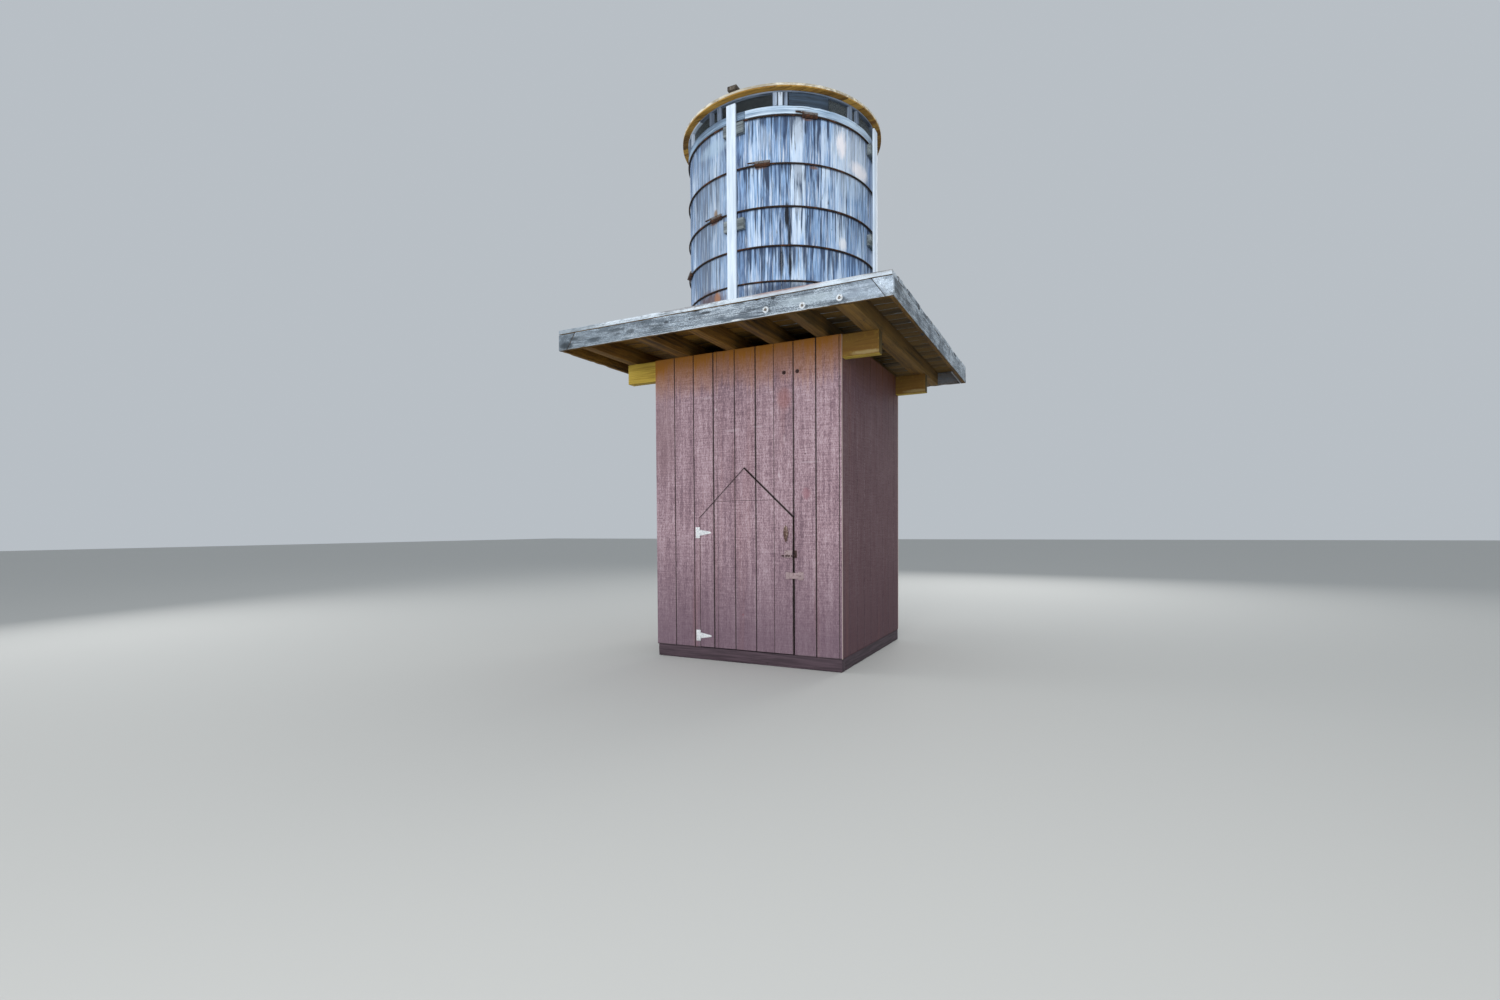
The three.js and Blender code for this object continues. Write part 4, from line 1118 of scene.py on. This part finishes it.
def makeScreen():
    low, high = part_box("vent_screen")
    reach, wire, sides = (screenLook[part] for part in ("reach", "wire", "sides"))
    steps = round(2 * math.pi * reach / screenLook["pitch"])
    step = 2 * math.pi / steps
    rows = round((high.z - low.z) / screenLook["pitch"])
    at = tankCentre + spot(reach, 0.0, 0.0)
    beyond = tankCentre + spot(reach * math.cos(step), reach * math.sin(step), 0.0)
    parts = [rodBetween(at + spot(0.0, 0.0, low.z), at + spot(0.0, 0.0, high.z), wire, sides, False)]
    for row in range(rows + 1):
        rise = spot(0.0, 0.0, low.z + wire + (high.z - low.z - 2 * wire) * row / rows)
        parts.append(rodBetween(at + rise, beyond + rise, wire, sides, False))
    cell = gather(parts)
    everything = cell.verts[:] + cell.edges[:] + cell.faces[:]
    bmesh.ops.spin(cell, geom=everything, cent=tankCentre, axis=(0, 0, 1), dvec=(0, 0, 0),
                   angle=2 * math.pi - step, steps=steps - 1, use_duplicate=True)
    placePiece("ventScreen", [cell], "wire", ["vent_screen"])
    print("screen wires:", steps, "up and", rows + 1, "round")


makeVent()
makeScreen()


# Round work of straight boards: the cover and the tank floor
coverLook = {"seed": 31, "board": 0.184, "gap": 0.003, "segments": 144, "edge": 0.002}


def roundBoards(low, high, along, draw, look):
    middle = (low + high) / 2
    radius = (high.x - low.x) / 2
    across = 1 - along
    count = math.ceil(2 * radius / look["board"])
    parts = []
    for index in range(count):
        start = -count * look["board"] / 2 + index * look["board"] + look["gap"] / 2
        end = start + look["board"] - look["gap"]
        disc = bmesh.new()
        bmesh.ops.create_circle(disc, cap_ends=True, segments=look["segments"], radius=radius,
                                matrix=Matrix.Translation(spot(middle.x, middle.y, low.z)))
        for cut, sign in ((start, -1.0), (end, 1.0)):
            place = spot(middle.x, middle.y, 0.0)
            normal = spot(0.0, 0.0, 0.0)
            place[across] += cut
            normal[across] = sign
            bmesh.ops.bisect_plane(disc, geom=disc.verts[:] + disc.edges[:] + disc.faces[:],
                                   plane_co=place, plane_no=normal, clear_outer=True)
        if not disc.faces:
            disc.free()
            continue
        raised = bmesh.ops.extrude_face_region(disc, geom=disc.faces[:])["geom"]
        lifted = [item for item in raised if isinstance(item, bmesh.types.BMVert)]
        bmesh.ops.translate(disc, vec=(0.0, 0.0, high.z - low.z), verts=lifted)
        bmesh.ops.recalc_face_normals(disc, faces=disc.faces)
        roundEdges(disc, look["edge"])
        markGrain(disc, along, draw)
        parts.append(disc)
    return parts


roundWork = [
    ("coverBoards", "cover", "cover_wood", "cover"),
    ("floorBoards", "framing", "framing", "tank_floor"),
]


def makeRoundWork():
    draw = random.Random(coverLook["seed"])
    for name, finish, slot, node in roundWork:
        placePiece(name, roundBoards(*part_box(node), 0, draw, coverLook), finish, [node])


makeRoundWork()


# Straight timbers that stand in for one plain solid each
heavyWear = {"step": 0.05, "edge": 0.004, "depth": 0.0020, "chips": 0.010}
lightWear = {"step": 0.08, "edge": 0.0025, "depth": 0.0010, "chips": 0.002}
timberSeed = 47
joistCount = 6
straightTimbers = {
    "cover_batten": ("coverBatten", 1, heavyWear, "batten", "weathered_timber"),
    "header_beam_front": ("frontBeam", 0, lightWear, "beam", "beam_timber"),
    "header_beam_back": ("backBeam", 0, lightWear, "beam", "beam_timber"),
}
for end in ("front", "back"):
    for side in ("left", "right"):
        post = (end + side.title() + "Post", 2, lightWear, "framing", "framing")
        straightTimbers["corner_post_" + end + "_" + side] = post
for joistNumber in range(1, joistCount + 1):
    joist = ("joist" + str(joistNumber), 1, lightWear, "joist", "joist_timber")
    straightTimbers["joist_" + str(joistNumber)] = joist
copiedTimbers = {
    "door_jambs": ("doorJambs", 2, "tower"),
    "tank_bearers": ("tankBearers", 1, "tower"),
    "door_backing": ("doorBacking", 2, "door"),
}


def makeStraightTimbers():
    draw = random.Random(timberSeed)
    for node, (name, along, wear, finish, slot) in straightTimbers.items():
        low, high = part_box(node)
        placePiece(name, [makeBoard(low, high, along, wear, draw)], finish, [node])
    for node, (name, along, body) in copiedTimbers.items():
        copied = copySolid(node, along, lightWear["edge"], draw)
        placePiece(name, [copied], "framing", [node], body)


makeStraightTimbers()


# The platform's face: fascias scarfed over blocks on the rims' ends, and boards across the joists
platformLook = {
    "fasciaSeed": 61, "rimSeed": 67, "deckSeed": 71,
    "slope": {"left": 0.094, "right": 0.099}, "lap": 0.0383, "rimThick": 0.038, "joint": 0.0008,
    "setBack": 0.003, "blockFoot": {"left": 0.093, "right": 0.055},
    "fasciaWear": {"step": 0.035, "edge": 0.005, "depth": 0.0022, "chips": 0.014},
    "board": 0.1383, "boardGap": 0.002, "boardEnd": 0.010,
    "deckWear": {"step": 0.045, "edge": 0.004, "depth": 0.0025, "chips": 0.012},
}
washerLook = {
    "places": [(1.461, 2.799), (1.753, 2.784), (2.033, 2.794)],
    "radius": 0.024, "thick": 0.002, "nut": 0.0115, "nutThick": 0.004,
}


def makeFascias():
    draw = random.Random(platformLook["fasciaSeed"])
    slope, setBack = platformLook["slope"], platformLook["setBack"]
    for side in ("front", "back"):
        low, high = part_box("fascia_" + side)
        inset = spot(0.0, setBack, 0.0)
        near, far = (low + inset, high) if side == "front" else (low, high - inset)
        board = makeBoard(near, far, 0, platformLook["fasciaWear"], draw)
        middle, half = (low.x + high.x) / 2, (high.x - low.x) / 2
        for vert in board.verts:
            share = (vert.co.z - low.z) / (high.z - low.z)
            lean = slope["left"] if vert.co.x < middle else slope["right"]
            vert.co.x -= (vert.co.x - middle) / half * lean * share
        placePiece(side + "Fascia", [board], "silver", ["fascia_" + side])


def makeRims():
    draw = random.Random(platformLook["rimSeed"])
    wear, lap, thick = (platformLook[part] for part in ("fasciaWear", "lap", "rimThick"))
    for side in ("left", "right"):
        low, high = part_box("rim_" + side)
        outer, sign = (low.x, 1.0) if side == "left" else (high.x, -1.0)
        edges = sorted((outer, outer + sign * thick))
        start, end = spot(edges[0], low.y + lap, low.z), spot(edges[1], high.y - lap, high.z)
        parts = [makeBoard(start, end, 1, wear, draw)]
        foot = platformLook["blockFoot"][side]
        for start in (low.y + platformLook["setBack"], high.y - lap):
            end = start + lap - platformLook["setBack"]
            block = makeBoard(spot(low.x, start, low.z), spot(high.x, end, high.z), 1, wear, draw)
            for vert in block.verts:
                share = (vert.co.z - low.z) / (high.z - low.z)
                reach = foot + platformLook["slope"][side] * share - platformLook["joint"]
                vert.co.x = outer + sign * abs(vert.co.x - outer) * reach / (high.x - low.x)
            parts.append(block)
        placePiece(side + "Rim", parts, "silver", ["rim_" + side])


def makeDeck():
    draw = random.Random(platformLook["deckSeed"])
    low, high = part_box("deck")
    count = round((high.y - low.y) / platformLook["board"])
    step = (high.y - low.y) / count
    parts = []
    for index in range(count):
        start = low.y + index * step
        end = start + step - (platformLook["boardGap"] if index < count - 1 else 0.0)
        left = low.x + draw.uniform(0.0, platformLook["boardEnd"])
        right = high.x - draw.uniform(0.0, platformLook["boardEnd"])
        corners = spot(left, start, low.z), spot(right, end, high.z)
        parts.append(makeBoard(*corners, 0, platformLook["deckWear"], draw))
    placePiece("deckBoards", parts, "deck", ["deck"])
    print("deck boards:", count)


boltShape = {"sides": 28, "headSides": 6, "edgeShare": 3, "seed": 3}


# A hexagon head on a round washer, standing out from a face that looks along -Y.
def boltHead(place, look):
    out = spot(0.0, -1.0, 0.0)
    thick = look["thick"]
    plate = rodBetween(place - out * thick, place + out * thick, look["radius"], boltShape["sides"])
    head = rodBetween(place, place + out * (thick + look["nutThick"]), look["nut"], boltShape["headSides"])
    for part in (plate, head):
        roundEdges(part, thick / boltShape["edgeShare"], 1)
        markGrain(part, 1, random.Random(boltShape["seed"]))
    return [plate, head]


def makeWashers():
    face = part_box("fascia_front")[0].y + platformLook["setBack"]
    bolts = [boltHead(spot(shedLow.x + x, face, z), washerLook) for x, z in washerLook["places"]]
    for name, finish, part in (("fasciaWashers", "washer", 0), ("fasciaNuts", "nut", 1)):
        placePiece(name, [bolt[part] for bolt in bolts], finish)


makeFascias()
makeRims()
makeDeck()
makeWashers()
print("platform built")


# Sills, siding, and the nails and bolts that hold it
sillLook = {"seed": 79, "wide": 0.089, "wear": {"step": 0.06, "edge": 0.004, "depth": 0.002, "chips": 0.008}}
sidingNodes = [
    "front_wall_left", "front_wall_right", "left_wall", "right_wall", "back_wall",
    "door_sheet_lower", "door_sheet_gable",
]
nailLook = {
    "radius": 0.0042, "sides": 8, "stand": 0.0010, "step": 0.203, "foot": 0.16, "head": 2.68,
    "front": [0.040, 0.448, 1.414, 1.768], "even": [0.040, 0.594, 0.626, 1.204, 1.236, 1.775],
    "door": [0.500, 1.350], "doorHead": 1.25,
}
wallBolts = {
    "places": [(1.307, 2.495), (1.428, 2.493)],
    "radius": 0.017, "thick": 0.003, "nut": 0.011, "nutThick": 0.008,
}


def makeSills():
    draw = random.Random(sillLook["seed"])
    low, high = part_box("sill_frame")
    wide, wear = sillLook["wide"], sillLook["wear"]
    near, far = low.y + wide, high.y - wide
    parts = [
        makeBoard(low, spot(high.x, near, high.z), 0, wear, draw),
        makeBoard(spot(low.x, far, low.z), high, 0, wear, draw),
        makeBoard(spot(low.x, near, low.z), spot(low.x + wide, far, high.z), 1, wear, draw),
        makeBoard(spot(high.x - wide, near, low.z), spot(high.x, far, high.z), 1, wear, draw),
    ]
    placePiece("sillTimbers", parts, "sill", ["sill_frame"])


def paintSiding():
    for node in sidingNodes:
        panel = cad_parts[node]
        panel.data.materials.clear()
        panel.data.materials.append(finishes["siding"])


# Nails down the studs: "quarter" turns the row from the front wall to the others.
def nailRows(columns, head, quarter):
    parts = []
    stand = spot(0.0, nailLook["stand"], 0.0)
    turn = Matrix.Rotation(math.radians(90 * quarter), 3, "Z")
    for along in columns:
        rise = nailLook["foot"]
        while rise < head:
            place = spot(shedLow.x + along, shedLow.y, rise)
            nail = rodBetween(place + stand, place - stand, nailLook["radius"], nailLook["sides"])
            bmesh.ops.rotate(nail, cent=shedCentre, matrix=turn, verts=nail.verts)
            parts.append(nail)
            rise += nailLook["step"]
    return parts


def makeFixings():
    nails = nailRows(nailLook["front"], nailLook["head"], 0)
    for quarter in (1, 2, 3):
        nails += nailRows(nailLook["even"], nailLook["head"], quarter)
    placePiece("wallNails", nails, "siding")
    doorNails = nailRows(nailLook["door"], nailLook["doorHead"], 0)
    placePiece("doorNails", doorNails, "siding", body="door")
    bolts = []
    for x, z in wallBolts["places"]:
        bolts += boltHead(spot(shedLow.x + x, shedLow.y, z), wallBolts)
    placePiece("beamBolts", bolts, "iron")
    print("nails:", len(nails) + len(doorNails))


makeSills()
paintSiding()
makeFixings()


# White boards round the tank, held off the staves by spacer blocks
postLook = {
    "seed": 83,
    "turns": {"front": -93, "right": -1, "back": 87, "left": 177},
    "wide": 0.089, "thick": 0.019, "stand": 0.038, "clear": 0.0003,
    "spacer": {"left": 0.090, "right": 0.107, "high": 0.095, "heights": [4.592, 3.785]},
    "wear": {"step": 0.08, "edge": 0.0015, "depth": 0.0006, "chips": 0.001},
}


def makeTankPosts():
    draw = random.Random(postLook["seed"])
    near = tankReach + postLook["clear"]
    face = near + postLook["stand"]
    half, spacer = postLook["wide"] / 2, postLook["spacer"]
    rise = spacer["high"] / 2
    for side, turn in postLook["turns"].items():
        node = "tank_post_" + side
        low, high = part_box(node)
        start, end = spot(face, -half, low.z), spot(face + postLook["thick"], half, high.z)
        board = boardAround(start, end, 2, postLook["wear"], draw, turn)
        placePiece(side + "TankBoard", [board], "white", [node])
        blocks = []
        for height in spacer["heights"]:
            start = spot(near, -spacer["left"], height - rise)
            end = spot(face, spacer["right"], height + rise)
            blocks.append(boardAround(start, end, 1, ventLook["wear"], draw, turn))
        placePiece(side + "TankSpacers", blocks, "spacer")


makeTankPosts()
print("tank boards built")


# Door ironwork
ironLook = {
    "hinge_plate_lower": ("lowerHingePlate", "zinc", "tower", "zinc"),
    "hinge_plate_upper": ("upperHingePlate", "zinc", "tower", "zinc"),
    "hinge_strap_lower": ("lowerHingeStrap", "zinc", "door", "zinc"),
    "hinge_strap_upper": ("upperHingeStrap", "zinc", "door", "zinc"),
    "bolt_guide": ("boltGuide", "paintedIron", "door", "old_iron"),
    "bolt_rod": ("boltRod", "iron", "latch_bolt", "old_iron"),
    "bolt_keeper": ("boltKeeper", "iron", "tower", "old_iron"),
    "hasp_leaf": ("haspLeaf", "paintedIron", "door", "painted_iron"),
    "hasp_strap": ("haspStrap", "paintedIron", "hasp", "painted_iron"),
    "hasp_staple": ("haspStaple", "paintedIron", "tower", "old_iron"),
    "pull_handle": ("pullHandle", "pull", "door", "old_iron"),
}
ironEdge = 0.0006
ironSeed = 97


def makeIronwork():
    draw = random.Random(ironSeed)
    for node, (name, finish, body, slot) in ironLook.items():
        placePiece(name, [copySolid(node, 2, ironEdge, draw)], finish, [node], body)


makeIronwork()


# The floor that the tower stands on
def layFloor():
    finish, tree, shader = startFinish("studioFloor")
    shader.inputs["Base Color"].default_value = (*studio["floorTone"], 1.0)
    shader.inputs["Roughness"].default_value = studio["floorRough"]
    floor = bmesh.new()
    bmesh.ops.create_grid(floor, x_segments=1, y_segments=1, size=studio["floorReach"])
    mesh = bpy.data.meshes.new("studioFloor")
    floor.to_mesh(mesh)
    floor.free()
    mesh.materials.append(finish)
    ground = bpy.data.objects.new("studioFloor", mesh)
    bpy.context.scene.collection.objects.link(ground)


layFloor()
